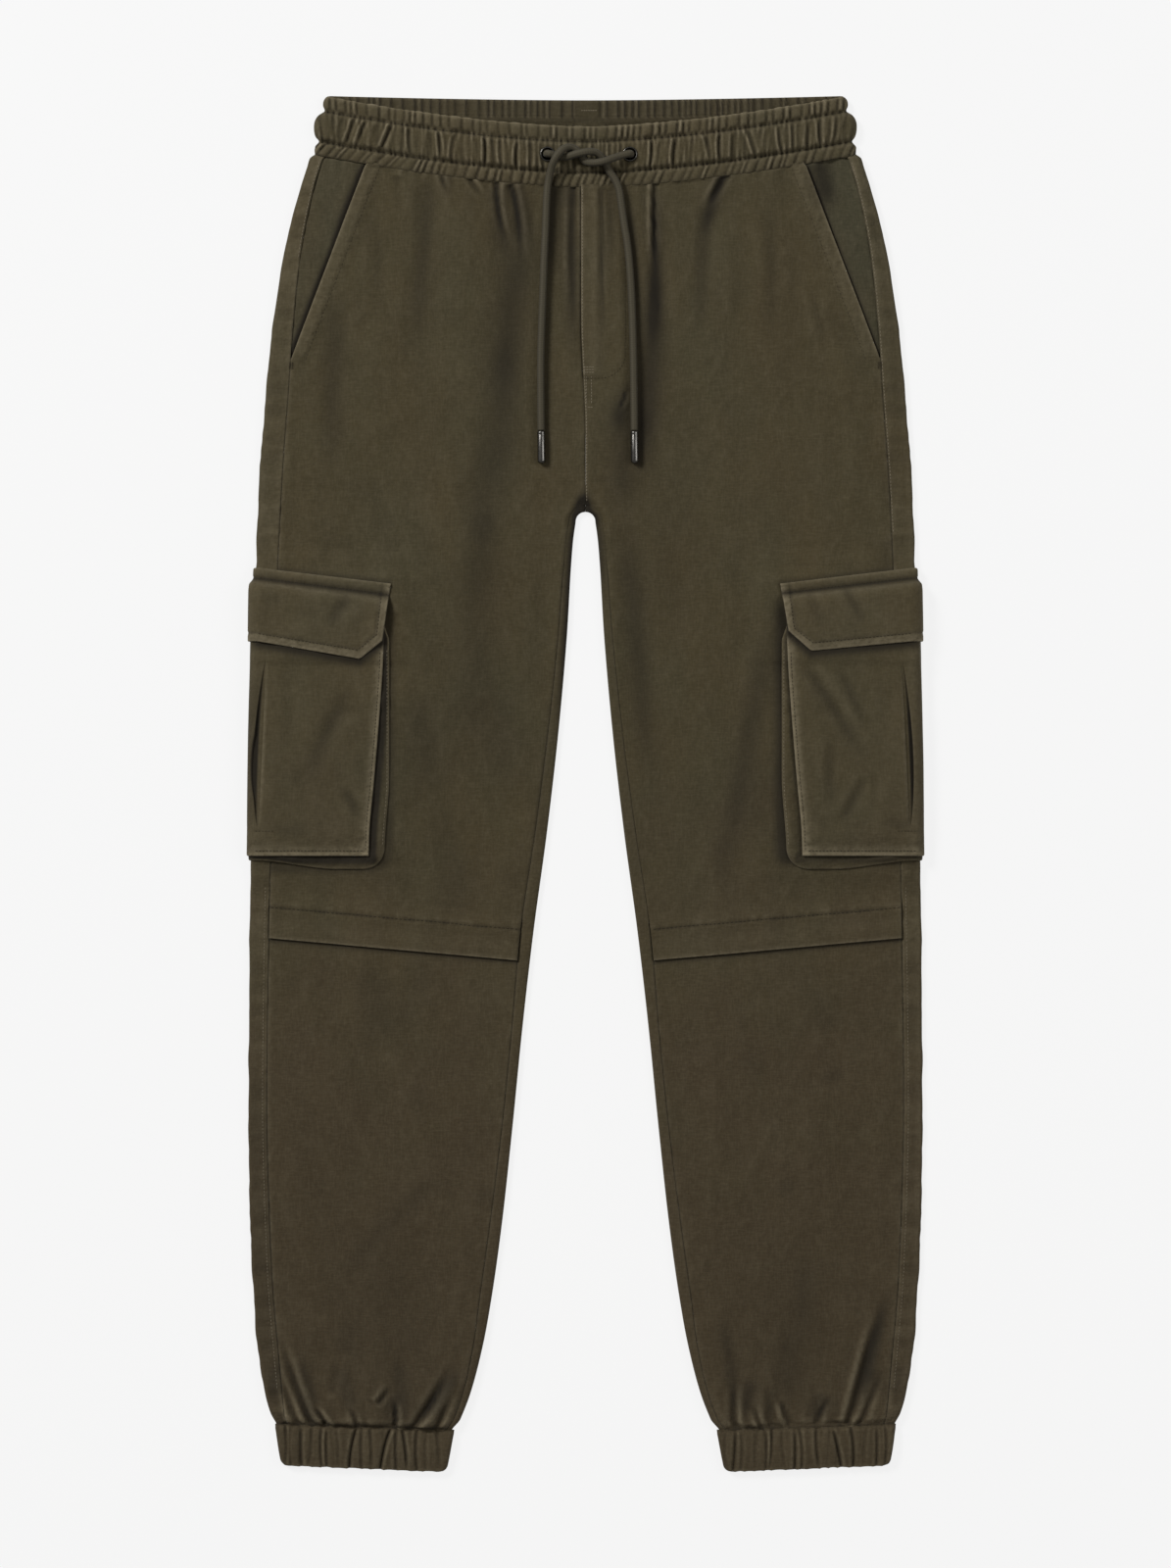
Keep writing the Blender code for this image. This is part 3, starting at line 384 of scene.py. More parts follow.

# Painted shade and painted light: soft darker and lighter (-) bands where the cloth's folds, the cords and
# the pockets shade it or catch the light, along bent paths like those of the creases.
Tone = namedtuple("Tone", "x up bend_x bend_up x_end up_end width amount")
LEG_TONES = (
    # under the waistband, wearer's right
    Tone(-184, 895, -189, 830, -188, 725, 8, 0.44),
    Tone(-116, 978, -119, 925, -128, 820, 7.5, 0.46),
    Tone(-104, 972, -104, 962, -102, 945, 5, 0.35),
    Tone(-67, 972, -67, 940, -58, 895, 6.5, 0.62),
    Tone(-54, 968, -49, 950, -47, 900, 6.5, 0.72),
    Tone(-42, 935, -58, 880, -66, 765, 13, 0.66),
    Tone(-58, 850, -57, 800, -62, 715, 12, 0.34),
    Tone(-68, 800, -75, 725, -82, 630, 14, 0.42),
    Tone(-76, 720, -77, 705, -77, 688, 9, 0.20),
    Tone(-80, 700, -80, 620, -88, 500, 19, 0.32),
    Tone(-14, 978, -11, 900, -8, 815, 5.5, 0.62),
    Tone(-12, 972, -12, 955, -11, 938, 9, 0.35),
    Tone(-22, 975, -25, 940, -27, 880, 5, 0.45),
    Tone(-160, 955, -158, 900, -148, 850, 7, 0.12),
    Tone(-100, 968, -97, 960, -92, 950, 5, -0.05),
    # under the waistband, wearer's left
    Tone(20, 968, 18, 940, 16, 880, 4.5, 0.35),
    Tone(33, 958, 34, 910, 38, 850, 4, 0.42),
    Tone(52, 972, 54, 905, 49, 830, 5, 0.78),
    Tone(51, 925, 52, 810, 42, 722, 9, 0.84),
    Tone(34, 818, 29, 795, 18, 772, 6.5, 0.62),
    Tone(31, 805, 26, 770, 28, 700, 11, 0.58),
    Tone(108, 982, 98, 958, 86, 915, 5.5, 0.85),
    Tone(92, 955, 86, 905, 84, 840, 6, 0.42),
    Tone(136, 965, 138, 900, 138, 830, 6, 0.28),
    Tone(152, 940, 152, 860, 150, 790, 7, 0.14),
    Tone(172, 985, 176, 965, 184, 935, 8, 0.90),
    Tone(180, 870, 186, 850, 196, 835, 6, 0.16),
    Tone(226, 775, 227, 745, 224, 715, 5, 0.22),
    # thighs
    Tone(24, 735, 40, 640, 50, 470, 10, 0.50),
    Tone(58, 760, 64, 700, 62, 600, 22, 0.14),
    Tone(141, 660, 122, 545, 98, 420, 10, 0.50),
    Tone(134, 540, 132, 500, 128, 450, 12, 0.22),
    Tone(-128, 590, -122, 550, -116, 480, 15, 0.34),
    Tone(-62, 600, -62, 550, -56, 490, 13, 0.22),
    Tone(-110, 510, -102, 460, -84, 405, 13, 0.26),
    Tone(108, 480, 104, 455, 96, 430, 9, 0.16),
    Tone(-30, 560, -34, 500, -38, 450, 8, 0.10),
    Tone(-200, 700, -185, 690, -165, 682, 9, 0.14),
    Tone(226, 700, 226, 685, 224, 668, 7, 0.30),
    Tone(-150, 720, -148, 695, -142, 670, 10, 0.12),
    Tone(-16, 735, -28, 700, -34, 620, 6, -0.03),
    Tone(12, 750, 20, 690, 26, 610, 6, -0.03),
    Tone(-120, 770, -118, 720, -122, 660, 18, -0.02),
    Tone(150, 800, 165, 740, 160, 690, 22, -0.02),
    # knee bands and shins
    Tone(-130, 435, -100, 425, -80, 418, 10, 0.10),
    Tone(-200, 418, -190, 412, -178, 408, 11, -0.03),
    Tone(160, 412, 190, 412, 215, 414, 9, -0.04),
    Tone(62, 404, 66, 400, 74, 396, 8, -0.03),
    Tone(138, 425, 138, 412, 138, 398, 5, 0.16),
    Tone(-165, 388, -158, 350, -148, 310, 13, 0.20),
    Tone(-112, 388, -126, 355, -142, 322, 9, 0.18),
    Tone(-128, 290, -125, 278, -122, 266, 9, 0.14),
    Tone(-100, 225, -138, 200, -185, 140, 8, 0.24),
    Tone(-66, 212, -74, 208, -86, 200, 7, 0.20),
    Tone(-90, 185, -88, 170, -86, 155, 6, 0.14),
    Tone(-150, 200, -155, 120, -150, 20, 44, 0.18),
    Tone(-215, 330, -210, 315, -205, 300, 14, -0.02),
    Tone(165, 365, 178, 345, 184, 325, 12, 0.16),
    Tone(112, 310, 125, 302, 138, 300, 9, 0.16),
    Tone(172, 293, 186, 294, 196, 297, 5, 0.26),
    Tone(140, 208, 148, 212, 158, 216, 6, 0.24),
    Tone(165, 170, 166, 130, 156, 90, 9, 0.22),
    Tone(150, 200, 150, 120, 150, 20, 44, 0.12),
    Tone(212, 235, 214, 200, 220, 160, 8, -0.02),
    # above the cuffs
    Tone(-213, 92, -208, 58, -200, 28, 6, 0.5),
    Tone(-176, 118, -178, 100, -183, 82, 8, 0.22),
    Tone(-148, 62, -142, 48, -138, 30, 9, 0.45),
    Tone(-92, 84, -104, 56, -128, 34, 5.5, 0.74),
    Tone(-182, 84, -178, 62, -175, 40, 6, 0.42),
    Tone(-140, 90, -136, 62, -134, 40, 6, 0.40),
    Tone(-228, 90, -232, 66, -232, 50, 5, 0.45),
    Tone(-236, 54, -236, 46, -234, 38, 6, -0.08),
    Tone(226, 140, 214, 88, 202, 38, 4.5, 0.95),
    Tone(182, 60, 174, 50, 168, 34, 8, 0.55),
    Tone(102, 122, 106, 84, 114, 38, 5, 0.48),
    Tone(153, 116, 150, 80, 152, 44, 10, 0.30),
    Tone(214, 80, 218, 66, 224, 54, 5, 0.30),
    Tone(230, 54, 230, 46, 230, 38, 7, -0.09),
    Tone(96, 50, 98, 44, 100, 36, 5, -0.06),
    Tone(122, 74, 122, 56, 120, 40, 7, 0.50),
    Tone(140, 66, 138, 54, 138, 40, 5, 0.30),
    Tone(234, 84, 233, 70, 230, 58, 5, 0.35),
)
# The same painted shade and painted light on the faces and flaps of the cargo pockets.
POCKET_TONES = (
    Tone(-172, 590, -194, 552, -214, 505, 7, 0.42),
    Tone(-160, 600, -176, 575, -190, 566, 5, -0.05),
    Tone(-205, 590, -207, 560, -214, 545, 7, -0.05),
    Tone(-176, 658, -184, 642, -196, 624, 5.5, 0.36),
    Tone(-230, 655, -236, 650, -244, 648, 5, 0.16),
    Tone(-212, 635, -214, 628, -212, 622, 9, -0.07),
    Tone(-164, 636, -160, 626, -160, 616, 6, -0.07),
    Tone(-184, 512, -178, 500, -168, 484, 4, 0.30),
    Tone(-240, 480, -225, 476, -205, 478, 5, 0.26),
    Tone(-246, 468, -236, 467, -222, 466, 6, -0.08),
    Tone(-205, 500, -196, 482, -180, 474, 9, -0.03),
    Tone(160, 604, 186, 572, 214, 520, 5, 0.34),
    Tone(188, 602, 202, 575, 212, 548, 4.5, 0.22),
    Tone(196, 660, 200, 642, 212, 630, 5, 0.26),
    Tone(168, 655, 174, 640, 178, 626, 5, 0.14),
    Tone(226, 600, 227, 540, 226, 480, 7, -0.06),
    Tone(206, 640, 226, 636, 242, 632, 7, -0.06),
    Tone(158, 600, 157, 540, 160, 478, 5, -0.05),
    Tone(186, 548, 182, 520, 186, 492, 5, 0.22),
    Tone(210, 516, 202, 500, 192, 480, 4.5, 0.26),
    Tone(160, 474, 164, 470, 170, 466, 5, -0.09),
    Tone(222, 488, 234, 482, 246, 480, 4, 0.26),
)


def smooth(t):
    """From 0 to 1, level at both ends."""
    t = np.clip(t, 0.0, 1.0)
    return t * t * (3 - 2 * t)


def hump(distance, width):
    """1 at no distance, falling softly to 0."""
    return np.exp(-((distance / width) ** 2))


def reader(rows, column, key="up"):
    """A smooth curve through one column of a table, read by height or by another key."""
    ups = np.array([getattr(row, key) for row in rows], float)
    values = np.array([getattr(row, column) for row in rows], float)
    steps = np.diff(values) / np.diff(ups)
    slopes = np.concatenate([steps[:1], (steps[:-1] + steps[1:]) / 2, steps[-1:]])

    def read(up):
        up = np.clip(up, ups[0], ups[-1])
        i = np.clip(np.searchsorted(ups, up, side="right") - 1, 0, len(ups) - 2)
        span = ups[i + 1] - ups[i]
        t = (up - ups[i]) / span
        a, b = values[i], values[i + 1]
        left, right = slopes[i] * span, slopes[i + 1] * span
        return a + left * t + (3 * (b - a) - 2 * left - right) * t**2 + (2 * (a - b) + left + right) * t**3

    return read


outer_edge = reader(OUTSIDE, "edge")
side_seam = reader(OUTSIDE, "seam")
fold_thickness = reader(OUTSIDE, "fold")
loft = reader(OUTSIDE, "loft")
inner_edge = reader(INSIDE, "edge")
inseam = reader(INSIDE, "seam")
pouch_front = reader(POUCH_ROWS, "front")
pouch_back = reader(POUCH_ROWS, "back")


def ground(x, up):
    """How high the underside of the leg lies, over the half of the cargo pocket that is beneath it."""
    height = POCKET_LIFTS[0].height
    for low, high in zip(POCKET_LIFTS, POCKET_LIFTS[1:]):
        height = height + (high.height - low.height) * smooth((up - low.up) / (high.up - low.up))
    return height * (1 - smooth((outer_edge(up) - x - LIFT_REACH) / LIFT_FADE))


def from_arch(x, up):
    """How far a place lies from the arch between the legs."""
    return np.hypot(x, up - ARCH_CENTRE) - ARCH_RADIUS


def clear_of_arch(up):
    return smooth((abs(up - ARCH_CENTRE) - 20) / 30)


def from_inner_fold(x, up):
    return np.where(up > ARCH_CENTRE, from_arch(x, up), x - inner_edge(up))


def crown(x, up):
    """How much the front rises between its folded edges."""
    radius = fold_thickness(up) / 2
    rise = loft(up) - fold_thickness(up)
    outside = smooth((outer_edge(up) - radius - x) / CROWN_REACH)
    return rise * outside * smooth((from_inner_fold(x, up) - radius) / CROWN_REACH)


def unevenness(x, up, wide, tall, seed):
    """Smooth random height from -1 to 1, in cells of this size."""
    lattice = np.random.default_rng(seed).uniform(-1, 1, (97, 97))
    u, v = x / wide + 500, up / tall + 500
    i, j = np.floor(u).astype(int), np.floor(v).astype(int)
    s, t = smooth(u - i), smooth(v - j)
    corner = [[lattice[(i + a) % 97, (j + b) % 97] for b in (0, 1)] for a in (0, 1)]
    low = corner[0][0] * (1 - t) + corner[0][1] * t
    high = corner[1][0] * (1 - t) + corner[1][1] * t
    return low * (1 - s) + high * s


def waves(x, pitch, seed):
    """Smooth random height from -1 to 1 that changes one way only."""
    return unevenness(x, 0 * x, pitch, 1, seed)


def puckers(up, pitch, seed):
    """Like waves, but along the height of the garment."""
    return unevenness(0 * up, up, 1, pitch, seed)


def follow(row, x, up):
    """Which points lie near a bent path, how far off, how far to its right, and how far along (0 to 1)."""
    reach = 4.5 * row.width
    xs, ups = (row.x, row.bend_x, row.x_end), (row.up, row.bend_up, row.up_end)
    near = (x > min(xs) - reach) & (x < max(xs) + reach) & (up > min(ups) - reach) & (up < max(ups) + reach)
    t = np.linspace(0, 1, 24)
    path_x = (1 - t) ** 2 * row.x + 2 * t * (1 - t) * row.bend_x + t**2 * row.x_end
    path_up = (1 - t) ** 2 * row.up + 2 * t * (1 - t) * row.bend_up + t**2 * row.up_end
    here_x, here_up = x[near], up[near]
    off = np.full(here_x.shape, np.inf)
    across, along = np.zeros(here_x.shape), np.zeros(here_x.shape)
    for k in range(len(t) - 1):
        step_x, step_up = path_x[k + 1] - path_x[k], path_up[k + 1] - path_up[k]
        from_x, from_up = here_x - path_x[k], here_up - path_up[k]
        share = np.clip((from_x * step_x + from_up * step_up) / hypot(step_x, step_up) ** 2, 0, 1)
        off_x, off_up = from_x - share * step_x, from_up - share * step_up
        away = np.hypot(off_x, off_up)
        closer = away < off
        off = np.where(closer, away, off)
        along = np.where(closer, (k + share) / (len(t) - 1), along)
        across = np.where(closer, np.sign(off_x) * away, across)
    return near, off, across, along


def crease_height(creases, x, up):
    """The height that a table of creases adds at signed x."""
    x, up = np.broadcast_arrays(x, up)
    height = np.zeros(x.shape)
    for row in creases:
        near, off, across, along = follow(row, x, up)
        strength = smooth(along / max(row.fade, 0.01)) * smooth((1 - along) / 0.55)
        beside = 0.6 * hump(across - row.side * 1.9 * row.width, 1.3 * row.width) * abs(row.side)
        height[near] += row.depth * strength * (beside - hump(off, row.width))
    return height


def toned(tones, signed, up):
    """Painted light and painted shade of a table of soft bands at signed x."""
    signed, up = np.broadcast_arrays(signed, up)
    amount = np.zeros(signed.shape)
    for row in tones:
        near, off, _, along = follow(row, signed, up)
        amount[near] += row.amount * smooth(along / 0.35) * smooth((1 - along) / 0.35) * hump(off, row.width)
    return np.clip(-amount, 0, 1), np.clip(amount, 0, 1.1)


def waist_dip(x, dip):
    """How far the waist hangs at x, when it hangs by dip at the centre line."""
    return dip * (1 - (np.minimum(abs(x), WAIST_SEAM_X) / WAIST_SEAM_X) ** DIP_POWER)


def front_waist(x):
    """The height of the waist seam on the front."""
    return WAIST_SEAM - waist_dip(x, FRONT_DIP)


def cuff_seam(x):
    return CUFF_SEAM - CUFF_TILT * (CUFF_X - x)


def ridged(x, up, wide, tall, seed):
    """Random sharp ridges between soft hollows, from -1 to 1."""
    return 1 - 2 * np.sqrt(unevenness(x, up, wide, tall, seed) ** 2 + 0.01)


def crumple(signed, up):
    """The small creases of washed cotton, all over the cloth."""
    steep, level = signed + 0.35 * up, signed - 0.5 * up
    height = 0.30 * ridged(steep, up, 24, 60, 7) + 0.20 * ridged(level, up, 19, 33, 8)
    return height + 0.09 * ridged(signed, up, 7, 15, 9) + 0.20 * unevenness(signed, up, 13, 30, 4)


def under_cords(signed, up, wide=9.0):
    """1 under the hanging ends of the drawcord, which press the cloth flat, and 0 away from them."""
    pressed = 0
    for route in CORDS.values():
        hanging = np.array(route[:-len(route) // 2:-1])
        x = np.interp(up - LENGTH / 2, hanging[:, 1], hanging[:, 0])
        pressed = np.maximum(pressed, hump(signed - x, wide))
    return pressed * smooth((up - 742) / 12) * smooth((968 - up) / 14)


def leg_relief(side, x, up):
    """Creases, puckers and unevenness of the front, over the plain form of the leg."""
    signed = side * x
    below_waist = np.maximum(front_waist(x) - up, 0)
    above_cuff = up - cuff_seam(x)
    over_cuff = np.maximum(above_cuff, 0)
    height = CREASE_DEPTH * crease_height(LEG_CREASES, signed, up)
    height = height + 1.7 * unevenness(signed, up, 32, 130, 3) + 1.4 * crumple(signed, up)
    height = height + 1.0 * waves(signed, 4.6, 5) * np.exp(-below_waist / 8.0)
    height = height + 1.2 * waves(signed + 0.05 * up, 11, 15) * np.exp(-below_waist / 34.0)
    height = height + 1.2 * unevenness(signed - 0.03 * up, up, 26, 190, 17) * np.exp(-below_waist / 120.0)
    height = height + 1.9 * waves(signed + 0.1 * up, 5.2, 6) * np.exp(-over_cuff / 13.0)
    height = height + 2.2 * waves(signed - 0.2 * up, 12, 16) * np.exp(-over_cuff / 36.0)
    height = height + 1.9 * smooth(above_cuff / 5) * (1 - smooth((above_cuff - 8) / 50))
    height = np.where(height < 0, DEEPEST * np.tanh(height / DEEPEST), height)
    radius = fold_thickness(up) / 2
    inward = smooth((outer_edge(up) - radius - x) / 10) * smooth((from_inner_fold(x, up) - radius) / 8)
    hollow = 1.1 * hump(from_arch(x, up) - ARCH_INSET, 4.5) * smooth((up - ARCH_CENTRE + 14) / 16)
    return height * (0.25 + 0.75 * inward) * (1 - 0.85 * under_cords(signed, up)) - hollow


def top_of_leg(x, up):
    """The height of the front over the surface, without its creases."""
    return ground(x, up) + fold_thickness(up) + crown(x, up)


def leg_tones(side, x, up, gain=0.5):
    """Painted light and shade of the cloth of the leg: abrasion and painted highlight on its ridges, painted
    shade in its hollows, and its painted bands.
    """
    worn_and_lit, deep = worn_lit_ridges_and_shaded_hollows(leg_relief, side, x, up, gain=gain)
    light, dark = toned(LEG_TONES, side * x, up)
    return worn_and_lit + light, deep + dark


def worn_lit_ridges_and_shaded_hollows(relief, *where, gain=0.5):
    """Wear and painted highlight on the ridges of a relief, and painted shade in its hollows: how far it
    stands over its surroundings.
    """
    reach = 3.2
    x, up = where[-2:]
    around = 0
    for dx, dup in ((reach, 0), (-reach, 0), (0, reach), (0, -reach)):
        around = around + relief(*where[:-2], x + dx, up + dup) / 4
    stands = gain * (relief(*where) - around)
    return np.clip(stands, 0, 0.6), np.clip(-1.2 * stands, 0, 0.6)


def place(x, up, z):
    """Points in millimetres in the part's frame, none of them under the surface."""
    x, up, z = np.broadcast_arrays(x, up, z)
    return np.stack([x, up - LENGTH / 2, np.maximum(z, 0)], axis=-1)


def stations(*stops):
    """Values from the first stop to the last, whose spacing runs between the steps given at the stops."""
    values, steps = zip(*stops)
    found = [values[0]]
    while found[-1] < values[-1]:
        found.append(found[-1] + np.interp(found[-1], values, steps))
    found = np.array(found)
    return values[0] + (found - values[0]) * (values[-1] - values[0]) / (found[-1] - values[0])


# ---------------------------------------------------------------- materials


class Graph:
    """The nodes of one material."""

    def __init__(self, name):
        self.material = bpy.data.materials.new(name)
        self.material.use_nodes = True
        self.tree = self.material.node_tree
        self.shader = self.tree.nodes["Principled BSDF"]

    def node(self, kind, output=0, settings=(), **inputs):
        made = self.tree.nodes.new(kind)
        for key, value in dict(settings).items():
            setattr(made, key, value)
        for key, value in inputs.items():
            index = int(key[1:]) if key[0] == "i" and key[1:].isdigit() else key.replace("_", " ")
            self.feed(made.inputs[index], value)
        return Wire(self, made.outputs[output])

    def feed(self, socket, value):
        if isinstance(value, Wire):
            self.tree.links.new(value.socket, socket)
        elif isinstance(value, tuple) and len(value) == 3 and socket.type == "RGBA":
            socket.default_value = (*value, 1)
        else:
            socket.default_value = value

    def shade(self, **inputs):
        for key, value in inputs.items():
            self.feed(self.shader.inputs[key.replace("_", " ")], value)

    def attribute(self, name):
        return self.node("ShaderNodeAttribute", output="Fac", settings={"attribute_name": name})

    def place(self, stretch=(1, 1, 1), turn=0.0):
        coordinates = self.node("ShaderNodeTexCoord", output="Object")
        rotation = (0, 0, radians(turn))
        return self.node("ShaderNodeMapping", Vector=coordinates, Scale=stretch, Rotation=rotation)

    def noise(self, size, detail=2.0, stretch=(1, 1, 1), turn=0.0):
        """Random values from 0 to 1, in patches of this size in millimetres."""
        where = self.place(stretch, turn)
        return self.node("ShaderNodeTexNoise", Vector=where, Scale=1000 / size, Detail=detail)

    def mix(self, share, a, b):
        return self.node("ShaderNodeMix", output=2, settings={"data_type": "RGBA"}, i0=share, i6=a, i7=b)

    def bump(self, height, distance, strength=1.0, under=None):
        """Bump of a height from 0 to 1 that stands for this many millimetres."""
        extra = {} if under is None else {"Normal": under}
        return self.node("ShaderNodeBump", Height=height, Distance=distance * MM, Strength=strength, **extra)


class Wire:
    """A socket that can be added, multiplied and clamped."""

    def __init__(self, graph, socket):
        self.graph = graph
        self.socket = socket

    def math(self, operation, other=0.0, clamp=False):
        settings = {"operation": operation, "use_clamp": clamp}
        return self.graph.node("ShaderNodeMath", settings=settings, i0=self, i1=other)

    def __add__(self, other):
        return self.math("ADD", other)

    def __sub__(self, other):
        return self.math("SUBTRACT", other)

    def __mul__(self, other):
        return self.math("MULTIPLY", other)

    def __rsub__(self, other):
        return self.math("MULTIPLY", -1.0).math("ADD", other)

    __radd__ = __add__
    __rmul__ = __mul__

    def clamped(self):
        return self.math("MULTIPLY", 1.0, clamp=True)

    def between(self, low, high):
        """0 below low, 1 above high."""
        return self.graph.node("ShaderNodeMapRange", i0=self, i1=low, i2=high)


# Cloth colours; the light one stands for abrasion and also for painted highlight, DARK for painted shade and
# also for the random darker mottling.
OLIVE = (0.0560, 0.0425, 0.0178)
GREEN = (0.0515, 0.0423, 0.0190)
BROWN = (0.0508, 0.0362, 0.0172)
DARK = (0.0118, 0.0089, 0.0046)
WORN_AND_LIT = (0.1700, 0.1420, 0.0900)


def cloth_material(name, upper=OLIVE, patch=GREEN):
    """Washed twill: one attribute lightens edges and ridges with abrasion and painted highlight, shade
    darkens seams, creases and hollows with painted shade, and pucker gathers the cloth.

    The legs are a little browner and darker from the knee down.
    """
    graph = Graph(name)
    patches = graph.noise(60, 4, (1, 0.6, 1)).between(0.36, 0.64)
    colour = graph.mix(patches, upper, patch)
    height = graph.node("ShaderNodeSeparateXYZ", output="Y", Vector=graph.place())
    browned = height * (-1 / 0.30) + (graph.noise(80, 3) * 1.6 - 0.75)
    colour = graph.mix(browned.clamped(), colour, BROWN)
    clouds = graph.noise(17, 4, (1, 0.45, 1), 12).between(0.34, 0.7)
    colour = graph.mix(clouds * 0.11, colour, DARK)
    rubbed_through = graph.noise(11, 5, (1, 0.6, 1), -20).between(0.5, 0.78)
    colour = graph.mix(rubbed_through * 0.07, colour, WORN_AND_LIT)
    warp = graph.noise(1.1, 2, (1, 0.16, 1)).between(0.42, 0.8)
    weft = graph.noise(1.1, 2, (0.16, 1, 1)).between(0.42, 0.8)
    colour = graph.mix(warp * 0.13, colour, WORN_AND_LIT)
    colour = graph.mix(weft * 0.13, colour, WORN_AND_LIT)
    fuzz = graph.noise(1.8, 3).between(0.35, 0.7)
    colour = graph.mix(fuzz * 0.20, colour, DARK)
    # The attribute for abrasion and painted highlight lightens the cloth in patches; the shade attribute
    # darkens it with painted shade.
    worn_and_lit = graph.noise(3.5, 3).between(0.25, 0.6)
    wear_and_light = graph.attribute("wear_and_light") * (worn_and_lit * 0.6 + 0.4)
    colour = graph.mix(wear_and_light.clamped(), colour, WORN_AND_LIT)
    colour = graph.mix((graph.attribute("shade") * 0.84).clamped(), colour, DARK)
    twill = graph.node(
        "ShaderNodeTexWave",
        output="Fac",
        settings={"wave_type": "BANDS", "bands_direction": "X"},
        Vector=graph.place(turn=38),
        Scale=2 * pi / 20 / (TWILL_PITCH * MM),
        Distortion=1.0,
        Detail=1.0,
    )
    fine = graph.bump(twill, 0.05, 0.5)
    nap = graph.bump(graph.noise(2.0, 4), 0.30, 0.7, fine)
    crumpled = graph.bump(graph.noise(9, 3, (1, 0.55, 1), 25), 1.0, 0.7, nap)
    puckered = graph.noise(4.5, 2) * graph.attribute("pucker")
    gathered = graph.bump(puckered, 2.0, 0.8, crumpled)
    graph.shade(
        Base_Color=colour, Roughness=0.88, Specular_IOR_Level=0.25, Normal=gathered, Sheen_Weight=0.06,
        Sheen_Roughness=0.5, Sheen_Tint=(0.75, 0.68, 0.55, 1),
    )
    return graph.material


def thread_material(name, colour):
    graph = Graph(name)
    graph.shade(Base_Color=(*colour, 1), Roughness=0.8, Specular_IOR_Level=0.2)
    return graph.material


def cord_material():
    """A closely braided round cord, by its own distance along and round it, with painted shade on its sides.
    """
    graph = Graph("cord")
    along, turn = graph.attribute("along"), graph.attribute("turn")
    strands = 2 * pi / BRAID_PITCH
    one = (along * strands + turn * 4.0).math("SINE")
    other = (along * strands - turn * 4.0).math("SINE")
    braid = (one * other * 0.5 + 0.5).clamped()
    # Painted shade on the sides of the cord, lighter along its top.
    painted_flank_shade = (0.62 - turn.math("SINE") * 0.70).clamped()
    colour = graph.mix((braid * 0.34 + painted_flank_shade).clamped(), (0.060, 0.051, 0.030), (0.022, 0.018, 0.011))
    normal = graph.bump(braid, 0.18, 0.7, graph.bump(graph.noise(0.9, 2), 0.08, 0.5))
    graph.shade(Base_Color=colour, Roughness=0.75, Specular_IOR_Level=0.3, Normal=normal, Sheen_Weight=0.05)
    return graph.material


def metal_material():
    """Dark polished metal, slightly scuffed."""
    graph = Graph("gunmetal")
    scuffs = graph.noise(3, 3).between(0.4, 0.7)
    graph.shade(Base_Color=(0.13, 0.125, 0.115, 1), Metallic=1.0, Roughness=scuffs * 0.10 + 0.24)
    return graph.material


# ---------------------------------------------------------------- making pieces


def grid(bm, points, fields=None):
    """A grid of faces through points[row, column], with its fields as numbers on the corners."""
    rows, columns = points.shape[:2]
    made = bmesh.ops.create_grid(bm, x_segments=columns - 1, y_segments=rows - 1, size=1)
    layers = {}
    for name, values in (fields or {}).items():
        layer = bm.verts.layers.float.get(name) or bm.verts.layers.float.new(name)
        layers[name] = (layer, np.broadcast_to(values, points.shape[:2]))
    if layers:
        bm.verts.ensure_lookup_table()
    for vert in made["verts"] if not layers else bm.verts[-rows * columns:]:
        column = round((vert.co.x + 1) / 2 * (columns - 1))
        row = round((vert.co.y + 1) / 2 * (rows - 1))
        vert.co = points[row, column] * MM
        for layer, values in layers.values():
            vert[layer] = values[row, column]


def finish_mesh(name, bm, material, side=1, weld=True):
    """The finished piece of this mesh, mirrored for the right leg."""
    if weld:
        bmesh.ops.remove_doubles(bm, verts=bm.verts, dist=WELD)
    if side < 0:
        bmesh.ops.scale(bm, vec=(-1, 1, 1), verts=bm.verts)
        bmesh.ops.reverse_faces(bm, faces=bm.faces)
    mesh = bpy.data.meshes.new(name)
    bm.to_mesh(mesh)
    bm.free()
    mesh.shade_smooth()
    mesh.materials.append(material)
    obj = bpy.data.objects.new(name, mesh)
    bpy.context.scene.collection.objects.link(obj)
    return obj


def ring(bm, points, fields):
    """A grid that closes on itself both ways."""
    closed = np.pad(points, ((0, 1), (0, 1), (0, 0)), mode="wrap")
    wrapped = {}
    for key, values in fields.items():
        values = np.broadcast_to(values, points.shape[:2])
        wrapped[key] = np.pad(values, ((0, 1), (0, 1)), mode="wrap")
    grid(bm, closed, wrapped)
    bmesh.ops.remove_doubles(bm, verts=bm.verts, dist=WELD)


def panel(name, grids, side, material):
    """A panel of cloth through grids of its outer face, thickened inwards."""
    bm = bmesh.new()
    for points, fields in grids:
        grid(bm, points, fields)
    obj = finish_mesh(name, bm, material, side)
    thick = obj.modifiers.new("wall", "SOLIDIFY")
    thick.thickness = CLOTH * MM
    thick.offset = -1
    return obj


def settle(obj, nodes, flat=None):
    """The piece stands for its solids and moves with the part."""
    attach(obj, "root")
    if nodes:
        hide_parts(*nodes)
    if flat:
        flat[0] * MM
        flat[1] * MM
    return obj


